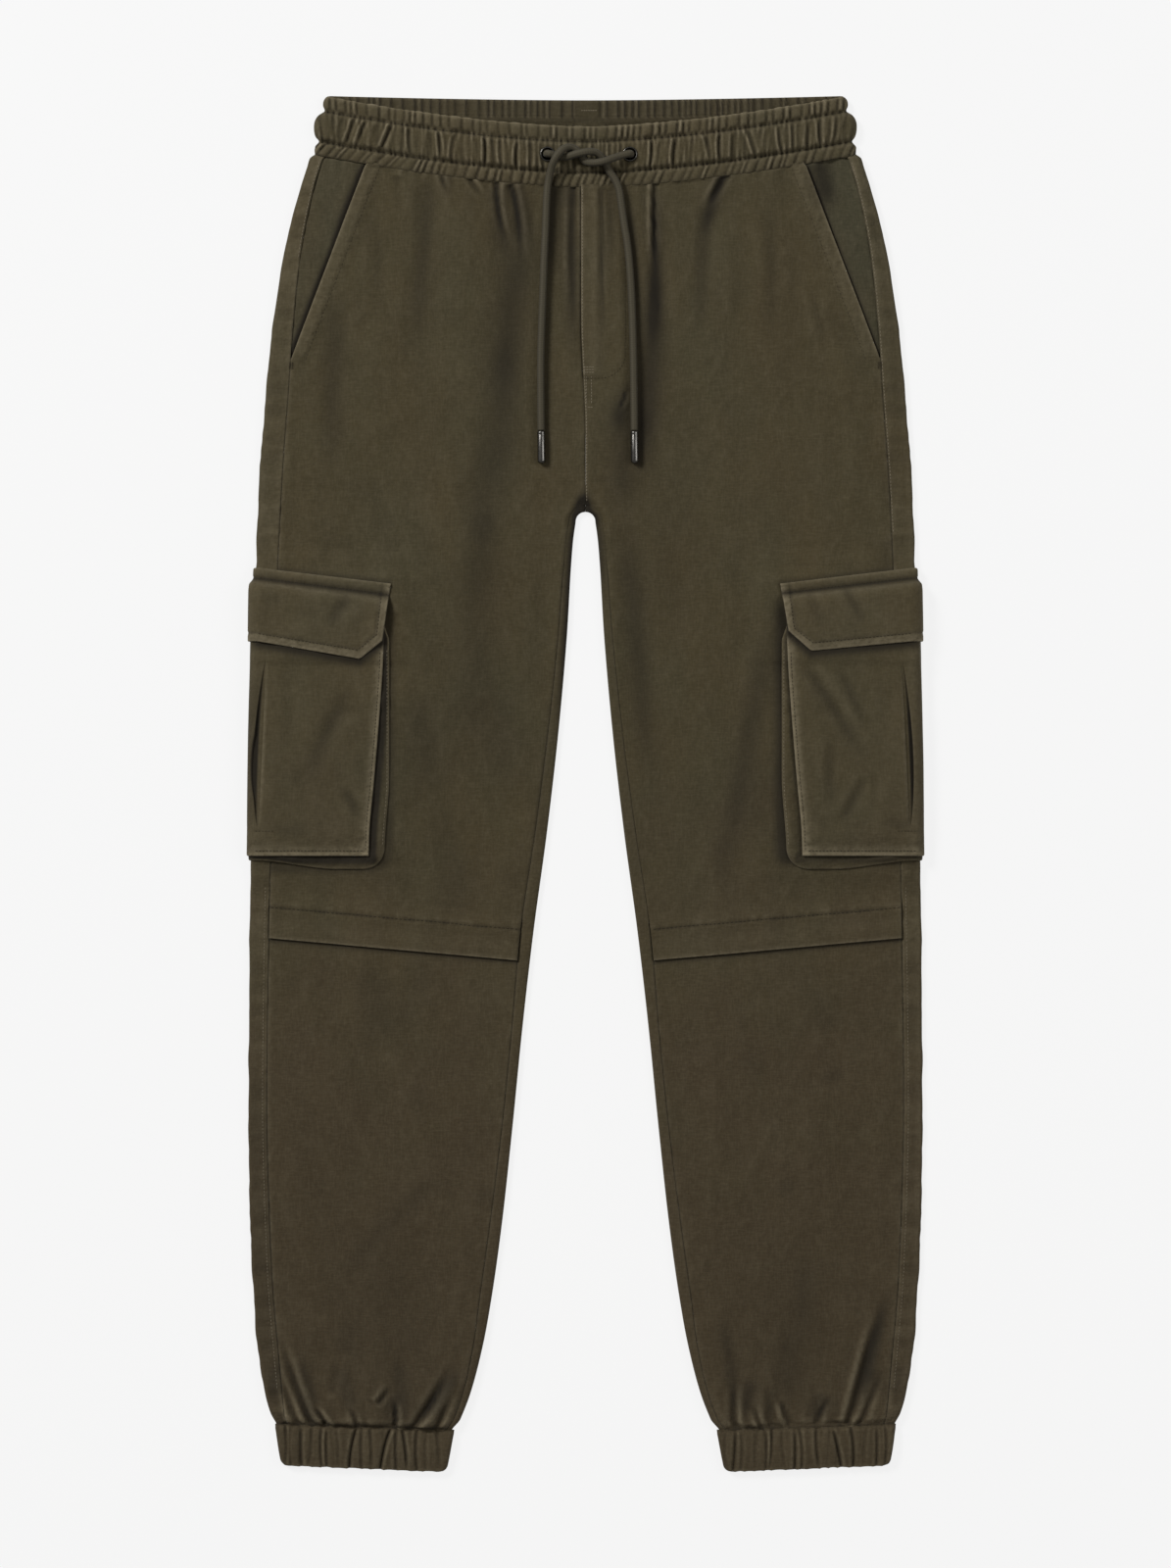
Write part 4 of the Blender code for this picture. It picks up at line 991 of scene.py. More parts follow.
def pulled_in(x, row):
    """x of the leg's ends, drawn in to fit the waistband and the cuff."""
    top = CUFF_LINES[0]
    middle, half = (top.outer + top.inner) / 2, (top.outer - top.inner) / 2
    into_cuff = smooth(1 - (row - CUFF_SEAM + TUCK) / 9.0)
    into_waist = smooth(1 - (WAIST_SEAM + TUCK - row) / 4.5)
    x = x - into_cuff * (x - middle) / half * np.where(x > middle, 1.6, 3.2)
    return x - 3.4 * into_waist * np.clip((x - 150) / (WAIST_SEAM_X - 150), 0, 1)


def seam_fade(row):
    """0 inside the seams of the waistband and cuffs, 1 clear of them."""
    return smooth((row - CUFF_SEAM - 0.2) / 1.8) * smooth((WAIST_SEAM - 0.2 - row) / 1.6)


def rolled(distance, reach=1.6, drop=0.8):
    """How much cloth curls down towards a sewn edge."""
    return -drop * np.clip(1 - distance / reach, 0, 1) ** 2


# ---------------------------------------------------------------- panels of the legs


def centre_seam(side, up):
    """How far the centre front seam lies from the middle, on the side of this leg."""
    return -side * 3.2 * smooth((up - 770) / 90) + MEETING


def inseam_gap(up):
    """Half the gap along the inseam, which closes round the arch of the crotch."""
    return MEETING + (HALF_GAP - MEETING) * smooth((ARCH_CENTRE - 15 - up) / 25)


def front_inner(side, up):
    """The inner edge of the front panels: the inseam, the arch of the crotch and the centre seam."""
    reach = ARCH_RADIUS + ARCH_INSET + MEETING
    arch = np.sqrt(np.clip(reach**2 - (up - ARCH_CENTRE) ** 2, 0, None))
    upper = np.where(up > ARCH_CENTRE + reach, centre_seam(side, up), np.maximum(arch, MEETING))
    return np.where(up > ARCH_CENTRE, upper, inseam(up) + inseam_gap(up))


def front_outer(up):
    """The outer edge of the front panel: the side seam, or the open edge of the slash pocket."""
    (x_top, up_top), (x_foot, up_foot) = OPENING_TOP, OPENING_FOOT
    opening = x_top + (x_foot - x_top) * (up_top - up) / (up_top - up_foot)
    return np.where(up < up_foot, side_seam(up) - HALF_GAP, opening)


def thigh_row(row, x):
    """The height of a row of the thigh at x: it hangs with the waist and tilts with the knee seam."""
    waist = smooth(1 - (WAIST_SEAM - row) / WAIST_BEND_REACH)
    knee = smooth(1 - (row - 434) / 110)
    return row - waist_dip(x, FRONT_DIP) * waist - KNEE_TILT * (KNEE_X - x) * knee


def shin_row(row, x):
    """The height of a row of the shin at x: it tilts with the knee seam and the cuff."""
    knee = smooth((row - 330) / 60)
    return row - leaning(x, row) - KNEE_TILT * (KNEE_X - x) * knee


def between(inner, outer, row_up, rows, shares):
    """x and up over a panel whose rows cross it from its inner to its outer edge."""
    rows = rows[:, None]
    ends = []
    for edge in (inner, outer):
        x = edge(rows)
        for _ in range(8):
            x = edge(row_up(rows, x))
        ends.append(x)
    x = ends[0] + (ends[1] - ends[0]) * shares[None, :]
    return x, row_up(rows, x), ends


def on_fly(x, up):
    """1 on the stitched panel of the mock fly, 0 off it."""
    (centre_x, centre_up), (wide, tall) = FLY_CORNER, FLY_ROUNDING
    rounded = np.hypot(np.maximum(x - centre_x, 0) / wide, np.maximum(centre_up - up, 0) / tall)
    off_centre = np.where(up < centre_up, rounded, x / (centre_x + wide))
    return smooth((up - 812) / 4) * smooth((1.0 - off_centre) / 0.12)


def pocket_shadow(side, x, up):
    """The shade on the thigh beside a cargo pocket and round its flap."""
    aside, below = BELLOWS_FRONT + BELLOWS_CORNER - x, BELLOWS_FOOT + BELLOWS_CORNER - up
    away = np.maximum(np.hypot(np.maximum(aside, 0), np.maximum(below, 0)) - BELLOWS_CORNER, 0)
    if side > 0:
        beside_pocket = 0.95 * hump(away, 5.8) * smooth((up - 448) / 10)
    else:
        beside_pocket = 0.6 * hump(away, 3.5)
    from_end = np.maximum(FLAP_END_TOP + 1 - x, 0)
    beside_flap = 0.55 * hump(from_end, 4.5) * smooth((652 - up) / 14) * (up > 605)
    over_flap = up - FLAP_TOP + FLAP_TILT * (outer_edge(FLAP_MIDDLE) - x)
    beside_flap = beside_flap + 0.6 * hump(over_flap - 0.5, 2.6) * smooth((x - 142) / 4)
    return np.maximum(beside_pocket * smooth((FLAP_TOP - 14 - up) / 20), beside_flap)


def front_thigh(leg, side, material):
    """The front of the thigh, from the waistband to the hem that hangs over the knee seam."""
    rows = stations(
        (KNEE_HEM, 0.4), (KNEE_HEM + 2.5, 1.2), (412, 2.4), (KNEE_STITCH - 3, 1.2), (KNEE_STITCH + 3, 1.2),
        (436, 2.4), (690, 2.4), (706, 0.9), (722, 0.7), (730, 2.2), (965, 2.0), (975, 1.0),
        (WAIST_SEAM + TUCK, 0.5),
    )
    shares = stations((0, 0.35), (2.5, 0.9), (9, 2.4), (205, 2.4), (212, 1.0), (217, 0.8), (220, 0.35)) / 220
    x, up, (x_in, x_out) = between(lambda u: front_inner(side, u), front_outer, thigh_row, rows, shares)
    row = rows[:, None]
    z = top_of_leg(x, up) + leg_relief(side, x, up) * seam_fade(row)
    z = z + LAYER * smooth(1 - (row - KNEE_STITCH) / KNEE_RAMP)
    knee_puckers = waves(side * x, 5.0, 71)
    z = z - (0.5 + 0.25 * knee_puckers) * hump(row - KNEE_STITCH, 1.5)
    z = z + 0.35 * knee_puckers * hump(row - KNEE_STITCH, 5) + 0.7 * hump(row - KNEE_HEM - 4, 5)
    on_opening = smooth((up - OPENING_FOOT[1] + 6) / 14)
    from_edge = (x_out - x) * (1 - 0.066 * on_opening)
    opening_puckers = puckers(up, 5.2, 72)
    lip = 1.3 * smooth(1 - (from_edge - 8) / 6) - 0.6 * hump(from_edge - OPENING_ROW, 1.5)
    lip = lip + 0.4 * opening_puckers * hump(from_edge - 8, 5)
    seam_puckers = puckers(up, 6.0, 73)
    z = z + lip * on_opening + 0.25 * seam_puckers * hump(from_edge - 2, 4) * (1 - on_opening)
    z = z + rolled(from_edge, 1.4, 0.6) * (1 - on_opening) + rolled(from_edge, 0.8, 0.4) * on_opening
    from_centre = x - x_in
    seam_drop = np.where(up > ARCH_CENTRE, 0.5 if side < 0 else 0.2, 0.45)
    z = z + rolled(from_centre, 1.6, 1.0) * seam_drop * clear_of_arch(up)
    z = z + 0.3 * puckers(up, 7.0, 74) * hump(from_centre - 3, 4)
    from_waist = WAIST_SEAM - row
    z = z + rolled(from_waist, 1.8, 0.9)
    if side > 0:
        fly = on_fly(x, up)
        z = z + 0.6 * fly + 1.1 * fly * smooth((11.5 - x) / 3.5) + 0.5 * fly * hump(x - 8.5, 2.0)
    above_crotch = smooth((up - 722) / 12)
    # Painted light and shade: ridges, raised strips, stitch puckers and abraded edges lighter, partly as
    # painted highlight, the left leg's slash-pocket edge lighter than the right's as painted light; painted
    # shade in seams, grooves and the crotch hollow, under the waistband and the knee row, beside the fly's
    # raised edge, at the inner fold and round the cargo pocket.
    wear_and_light, shade = leg_tones(side, x, up)
    along_seam = 0.3 + 0.2 * seam_puckers
    opening_wear_and_light = 0.9 if side > 0 else 0.8
    wear_and_light = wear_and_light + (opening_wear_and_light * on_opening + along_seam * (1 - on_opening)) * np.exp(-from_edge / 1.4)
    wear_and_light = wear_and_light + 0.7 * np.exp(-((row - KNEE_HEM) / 1.3)) + 0.16 * hump(from_edge - 7, 4) * on_opening
    wear_and_light = wear_and_light + 0.045 * hump(row - 409, 6)
    wear_and_light = wear_and_light + 0.22 * np.clip(knee_puckers, 0, 1) * hump(row - KNEE_STITCH - 2.5, 1.6)
    if side > 0:
        wear_and_light = wear_and_light + (0.45 + 0.5 * smooth((up - 820) / 60)) * np.exp(-from_centre / 1.0) * above_crotch
        wear_and_light = wear_and_light + 0.14 * fly * hump(x - 6, 6)
        shade = shade + 0.5 * hump(x - 12.6, 1.3) * smooth((up - 840) / 20)
    shade = shade + 0.4 * hump(from_centre, 1.5) * (side < 0) + 0.12 * hump(from_waist, 1.5)
    shade = shade + (0.4 - 0.35 * knee_puckers) * hump(row - KNEE_STITCH, 1.1)
    shade = shade + 0.3 * hump(from_edge, 0.7) * (1 - on_opening)
    shade = shade + crotch_shade(side * x, up)
    shade = shade + fold_shade(side, x - inner_edge(up), up) * (up < ARCH_CENTRE)
    # A painted shadow beside each hanging cord, a little towards +X.
    shade = shade + 0.5 * under_cords(side * x - 4.4, up, 3.0)
    shade = shade + pocket_shadow(side, x, up)
    x = pulled_in(x, row)
    pucker = 0.8 * hump(from_edge - 8, 6) * on_opening + 0.5 * hump(row - KNEE_STITCH, 5)
    pucker = pucker + 0.35 * hump(from_edge - 3, 4) * (1 - on_opening) + 0.5 * np.exp(-from_waist / 9)
    pucker = pucker + 0.3 * hump(from_centre, 5)
    fields = {"wear_and_light": wear_and_light, "shade": shade, "pucker": pucker}
    return panel(f"cloth_front_thigh_{leg}", [(place(x, up, z), fields)], side, material)


def front_shin(leg, side, material):
    """The front of the shin, from under the knee hem down to the cuff."""
    rows = stations(
        (CUFF_SEAM - TUCK, 0.5), (CUFF_SEAM + 5, 1.3), (80, 1.8), (130, 2.8), (390, 2.8),
        (KNEE_STITCH - 2, 2.8),
    )
    shares = stations((0, 0.35), (2.5, 0.9), (8, 2.3), (142, 2.3), (147.5, 0.9), (150, 0.35)) / 150
    x, up, (x_in, x_out) = between(
        lambda u: inseam(u) + HALF_GAP, lambda u: side_seam(u) - HALF_GAP, shin_row, rows, shares
    )
    row = rows[:, None]
    from_cuff = row - CUFF_SEAM
    z = top_of_leg(x, up) + leg_relief(side, x, up) * seam_fade(row) + rolled(from_cuff, 2.0, 0.7)
    from_side, from_inseam = x_out - x, x - x_in
    z = z + rolled(from_side, 1.4, 0.6) + rolled(from_inseam, 1.4, 0.6)
    side_puckers, inseam_puckers = puckers(up, 6.0, 73), puckers(up, 7.0, 74)
    z = z + 0.25 * side_puckers * hump(from_side - 2, 4)
    z = z + 0.25 * inseam_puckers * hump(from_inseam - 2, 4)
    # Painted light and shade: abraded seam edges lighter; painted shade in the seams, at the cuff's seam and
    # in the shadow under the knee hem.
    wear_and_light, shade = leg_tones(side, x, up)
    wear_and_light = wear_and_light + (0.3 + 0.2 * side_puckers) * np.exp(-from_side / 1.3)
    wear_and_light = wear_and_light + (0.22 + 0.16 * inseam_puckers) * np.exp(-from_inseam / 1.3)
    shade = shade + 0.3 * hump(from_side, 0.7) + 0.3 * hump(from_inseam, 0.7)
    shade = shade + 0.3 * hump(from_cuff, 1.4) + 0.85 * hump(np.minimum(row - KNEE_HEM + 0.4, 0), 2.6)
    x = pulled_in(x, row)
    pucker = 0.35 * hump(from_side - 3, 4) + 0.3 * hump(from_inseam - 3, 4) + 0.9 * np.exp(-from_cuff / 9)
    fields = {"wear_and_light": wear_and_light, "shade": shade, "pucker": pucker}
    return panel(f"cloth_front_shin_{leg}", [(place(x, up, z), fields)], side, material)


def fold_shade(side, inward, up):
    """The painted shade at a thigh's inner fold, from the crotch down, deeper on the right leg, whose fold
    faces away from the light.
    """
    strength = 1.1 if side < 0 else 0.8 * smooth((up - 640) / 40)
    return strength * hump(inward, 4.0) * smooth((up - 520) / 100) * smooth((720 - up) / 8)


def crotch_shade(signed, up):
    """Painted shade in the hollow right above the arch between the legs, and a thin painted line round the
    arch.
    """
    arch = from_arch(signed, up)
    hollow = 2.3 * hump(arch - 3.0, 9.0) * smooth((up - ARCH_CENTRE) / 6) * hump(signed + 2.0, 5.5)
    return hollow + 0.45 * hump(arch, 2.4) * smooth((up - ARCH_CENTRE + 8) / 8)


def leaning(x, row):
    """How far the rows of a leg drop towards its inner side, near the cuff."""
    return CUFF_TILT * (CUFF_X - x) * smooth(1 - (row - CUFF_SEAM) / CUFF_REACH)


def at_inner_fold(row):
    """The height of a row of the leg where it meets the inner fold."""
    return row - leaning(inner_edge(row), row)


def back_inner(up, radius):
    """The inner edge of the flat part of the back."""
    reach = ARCH_RADIUS + radius
    arch = np.sqrt(np.clip(reach**2 - (up - ARCH_CENTRE) ** 2, 0, None))
    upper = np.where(up > ARCH_CENTRE + reach, MEETING, np.maximum(arch, MEETING))
    return np.where(up > ARCH_CENTRE, upper, inner_edge(at_inner_fold(up)) + radius)


ARC = np.linspace(90, -90, 11)  # degrees round a folded edge, from the front to the back
BACK_ROWS = stations(
    (CUFF_SEAM - TUCK, 0.5), (CUFF_SEAM + 5, 1.5), (70, 2.2), (130, 3), (435, 3), (470, 2.4), (590, 3),
    (610, 2), (690, 2.6), (704, 1.0), (ARCH_CENTRE + ARCH_RADIUS + 2.15, 0.5), (724, 2.6), (965, 3),
    (WAIST_SEAM + TUCK, 0.8),
)


def back_leg(leg, side, material):
    """The back panel: flat below, wrapped round both folds to the seams on the front."""
    grids = [back_and_outer_strip(side), inner_strip(side)]
    return panel(f"cloth_back_leg_{leg}", grids, side, material)


def back_and_outer_strip(side):
    """The back of the leg, with the strip of it that comes round the outer fold to the side seam."""
    up = BACK_ROWS[:, None]
    radius = fold_thickness(up) / 2
    x_end = back_inner(up, radius)
    edge = outer_edge(up)
    edge = edge + 0.45 * puckers(up, 17, 76) + 0.2 * puckers(up, 6, 77)
    width = edge - x_end
    strip = stations((0, 0.35), (2.5, 0.9), (10, 1.6), (14, 1.2)) / 14
    seam_in = edge - side_seam(up) - HALF_GAP
    front_in = seam_in + (radius - seam_in) * strip[None, :]
    x_front = edge - front_in
    from_seam = seam_in - front_in
    blend = np.linspace(1, 0.6, len(strip))[None, :]
    relief = leg_relief(side, x_front, up) * blend * seam_fade(up)
    relief = relief + 0.55 * puckers(up, 4.6, 75) * hump(from_seam - 4, 7)
    relief = relief + 0.25 * unevenness(side * x_front, up, 9, 13, 9)
    z_front = top_of_leg(x_front, up) + relief + rolled(from_seam, 1.4, 0.6)

    angle = np.radians(ARC[1:])[None, :]
    x_arc = edge - radius * (1 - np.cos(angle))
    z_arc = ground(x_arc, up) + radius + radius * np.sin(angle)
    z_arc = z_arc + relief[:, -1:] * np.clip(np.sin(angle), 0, 1)

    faded = np.minimum(LIFT_REACH + LIFT_FADE, (LIFT_REACH + width) / 2)
    stops = [radius + (LIFT_REACH - radius) * t for t in np.linspace(0, 1, 8)[1:]]
    stops += [LIFT_REACH + (faded - LIFT_REACH) * t for t in (0.25, 0.5, 0.75, 1)]
    stops += [faded + (width - faded) * t for t in np.linspace(0, 1, 9)[1:]]
    x_back = edge - np.concatenate(stops, axis=1)
    z_back = ground(x_back, up) + 0.5 * np.clip(unevenness(side * x_back, up, 30, 70, 11) - 0.15, 0, None) * (
        smooth((edge - x_back - 12) / 20) * smooth((x_back - x_end) / 20)
    )
    x = np.concatenate([x_front, x_arc, x_back], axis=1)
    z = np.concatenate([z_front, z_arc, z_back], axis=1)

    front_dip = waist_dip(x, FRONT_DIP) - waist_dip(x, BACK_DIP)
    on_front = np.zeros(x.shape[1])
    on_front[: len(strip)] = 1
    on_front[len(strip): len(strip) + len(ARC) - 1] = np.clip(0.5 + 0.5 * np.sin(np.radians(ARC[1:])), 0, 1)
    waist = smooth(1 - (WAIST_SEAM - up) / WAIST_BEND_REACH)
    bent = up - (waist_dip(x, BACK_DIP) + front_dip * on_front[None, :]) * waist - leaning(x, up)
    from_cuff = up - CUFF_SEAM
    from_waist = WAIST_SEAM - up
    ends = rolled(from_cuff, 2.0, 0.7) + rolled(from_waist, 2.2, 1.3)
    z = z + ends * on_front[None, :]
    off_strip = ((0, 0), (0, x.shape[1] - len(strip)))
    # Painted light and shade: the leg's painted bands and ridges, lighter and darker rungs along the puckered
    # strip, the strip a little lighter on both legs at the hip and on the left leg between shin and knee,
    # darker low on the right leg, all as painted light and shade; painted shade in the side seam and under
    # the seams of the cuff and waistband.
    worn_and_lit, deep = leg_tones(side, x_front, up)
    rungs = (puckers(up, 4.6, 75) + 0.8 * puckers(up, 21, 80)) * smooth(from_seam / 3)
    worn_and_lit = worn_and_lit + 0.10 * np.clip(rungs, 0, 1) + 0.03
    worn_and_lit = worn_and_lit + (0.07 if side < 0 else 0.02) * smooth((up - 680) / 20)
    deep = deep + 0.20 * np.clip(-rungs, 0, 1) + 0.35 * hump(from_seam, 0.7)
    if side < 0:
        deep = deep + 0.22 * smooth((320 - up) / 60) * smooth((up - 45) / 20)
    else:
        worn_and_lit = worn_and_lit + 0.045 * smooth((450 - up) / 40) * smooth((up - 180) / 40)
    along_seam = 0.32 + 0.2 * smooth((up - 800) / 40) + 0.16 * rungs
    seam_wear_and_light = np.pad(along_seam * np.exp(-from_seam / 1.5) + worn_and_lit, off_strip)
    seam_pucker = np.pad(0.5 * hump(from_seam - 4, 5), off_strip)
    # A painted highlight along the outer fold, kept off the right leg's lower part.
    edge_wear_and_light = 0.12 * hump(edge - x, 4.0) * on_front[None, :]
    if side < 0:
        edge_wear_and_light = edge_wear_and_light * smooth((up - 320) / 60)
    x = pulled_in(x, up)
    fields = {
        "wear_and_light": seam_wear_and_light + edge_wear_and_light,
        "shade": 0.25 * hump(from_cuff, 1.2) + 0.2 * hump(from_waist, 1.4) + np.pad(deep, off_strip),
        "pucker": seam_pucker + 0.8 * np.exp(-np.maximum(from_cuff, 0) / 9) * on_front[None, :],
    }
    return place(x, bent, z), fields


def inner_strip(side):
    """The strip of the back that comes round the inner fold and the arch of the crotch to the inseam."""
    wrap_rows = BACK_ROWS[BACK_ROWS <= ARCH_CENTRE + ARCH_RADIUS + 2.35][:, None]
    radius = fold_thickness(wrap_rows) / 2
    around = np.arccos(np.clip((wrap_rows - ARCH_CENTRE) / (ARCH_RADIUS + radius), 0, 1))
    on_arch = wrap_rows > ARCH_CENTRE
    fold_x = np.where(on_arch, ARCH_RADIUS * np.sin(around), inner_edge(at_inner_fold(wrap_rows)))
    fold_up = np.where(on_arch, ARCH_CENTRE + ARCH_RADIUS * np.cos(around), wrap_rows)
    way_x = np.where(on_arch, np.sin(around), 1.0)
    way_up = np.where(on_arch, np.cos(around), 0.0)
    strip = inseam(at_inner_fold(fold_up)) - inner_edge(at_inner_fold(fold_up))
    inset = np.where(on_arch, ARCH_INSET, strip) - inseam_gap(fold_up)
    turn = np.radians(ARC[::-1])[None, :]
    inward = radius * (1 - np.cos(turn))
    flat = radius + (inset - radius) * np.array([0.35, 0.6, 0.8, 0.93, 1.0])[None, :]
    inward = np.concatenate([inward, flat], axis=1)
    height = np.concatenate([radius * (1 + np.sin(turn)), np.broadcast_to(2 * radius, flat.shape)], axis=1)
    x = np.maximum(fold_x + way_x * inward, MEETING)
    row_up = fold_up + way_up * inward
    on_top = np.clip(np.sin(np.concatenate([turn, np.full((1, 5), pi / 2)], axis=1)), 0, 1)
    shown_up = row_up - leaning(x, row_up)
    relief = (crown(x, shown_up) + leg_relief(side, x, shown_up) * seam_fade(row_up)) * on_top
    from_seam = inset - inward
    plain_arch = clear_of_arch(row_up)
    z = ground(x, row_up) + height + relief + rolled(from_seam, 1.4, 0.5) * on_top * plain_arch
    z = z + rolled(row_up - CUFF_SEAM, 2.0, 0.7) * on_top
    # Painted light and shade: the leg's painted bands, a light abraded line along the inseam, the left leg's
    # strip a little lighter as painted light; painted shade in the crotch hollow, at the inner fold, over the
    # strip and in the seam.
    light, dark = toned(LEG_TONES, side * x, shown_up)
    wear_and_light = light + 0.25 * np.exp(-np.maximum(from_seam, 0) / 1.2) * plain_arch + (0.04 if side > 0 else 0.0)
    shade = dark + crotch_shade(side * x, row_up) + fold_shade(side, inward, row_up)
    shade = shade + 0.10 * smooth((row_up - 330) / 200) + 0.35 * hump(from_seam, 0.7) * plain_arch
    return place(pulled_in(x, row_up), shown_up, z), {"wear_and_light": wear_and_light, "shade": shade, "pucker": 0.3}


def pocket_facing(leg, side, material):
    """The cloth that shows in the slanted opening, with its underlaps."""
    rows = stations((812, 2.4), (970, 2.4), (WAIST_SEAM + TUCK, 0.6))
    shares = stations((0, 2.0), (60, 1.8)) / 60
    x, up, _ = between(lambda u: front_outer(u) - 16, lambda u: side_seam(u) + 3, thigh_row, rows, shares)
    under_front = smooth((front_outer(up) + 3 - x) / 6)
    under_back = smooth((x - side_seam(up) + 2.0) / 2.5)
    relief = (leg_relief(side, x, up) + 0.6 * unevenness(side * x, up, 16, 45, 21)) * seam_fade(rows[:, None])
    sunk = LAYER * (0.55 + 0.45 * np.maximum(under_front, under_back)) + 0.5 * under_front
    z = top_of_leg(x, up) + relief - sunk
    z = z + rolled(WAIST_SEAM - rows[:, None], 2.2, 1.3)
    wear_and_light, shade = leg_tones(side, x, up, 0.3)
    # Painted shadow that the edge of the opening casts on the facing, narrow on the left leg and wider on the
    # right, and painted shade in the side seam.
    in_opening = x - front_outer(up)
    if side > 0:
        shade = shade + 0.95 * hump(in_opening - 0.2, 1.9) + 0.08 * hump(in_opening, 8)
    else:
        shade = shade + 1.2 * hump(in_opening - 1.5, 2.9 + puckers(up, 26, 91))
    shade = shade + 0.15 * hump(side_seam(up) - x, 1.2)
    x = pulled_in(x, rows[:, None])
    fields = {"wear_and_light": wear_and_light, "shade": shade, "pucker": 0.1}
    return panel(f"cloth_pocket_facing_{leg}", [(place(x, up, z), fields)], side, material)


# ---------------------------------------------------------------- cargo pockets


def quarter(up):
    """The length of a quarter of the fold."""
    return fold_thickness(up) / 2 * pi / 2


def round_fold(side, s, up, out, relief):
    """A point on a pocket piece: s is the way along the leg's face, from its folded edge to the front."""
    radius = fold_thickness(up) / 2
    turn = quarter(up)
    angle = np.clip(s / turn, -1, 1) * pi / 2
    inward = np.maximum(abs(s) - turn, 0) + radius * (1 - np.cos(angle))
    x = outer_edge(up) - inward
    z = ground(x, up) + radius + (radius + out) * np.sin(angle)
    on_front = smooth(s / turn)
    z = z + (crown(x, up) + relief * leg_relief(side, x, up)) * on_front
    return x + out * np.cos(angle), z


def arc_length_to(x, up):
    """s of a place on the front, at x."""
    return outer_edge(up) - x - fold_thickness(up) / 2 + quarter(up)


POUCH_FOOT = 458.9
SLIT_FOOT = 480.0
SLIT_TOP = 604.0


def pouch_relief(signed, up):
    """Creases of the faces and flaps of the cargo pockets."""
    height = 1.35 * crease_height(POCKET_CREASES, signed, up)
    return height + 0.35 * unevenness(signed, up, 16, 34, 31) + 0.8 * crumple(signed + 31, up - 17)


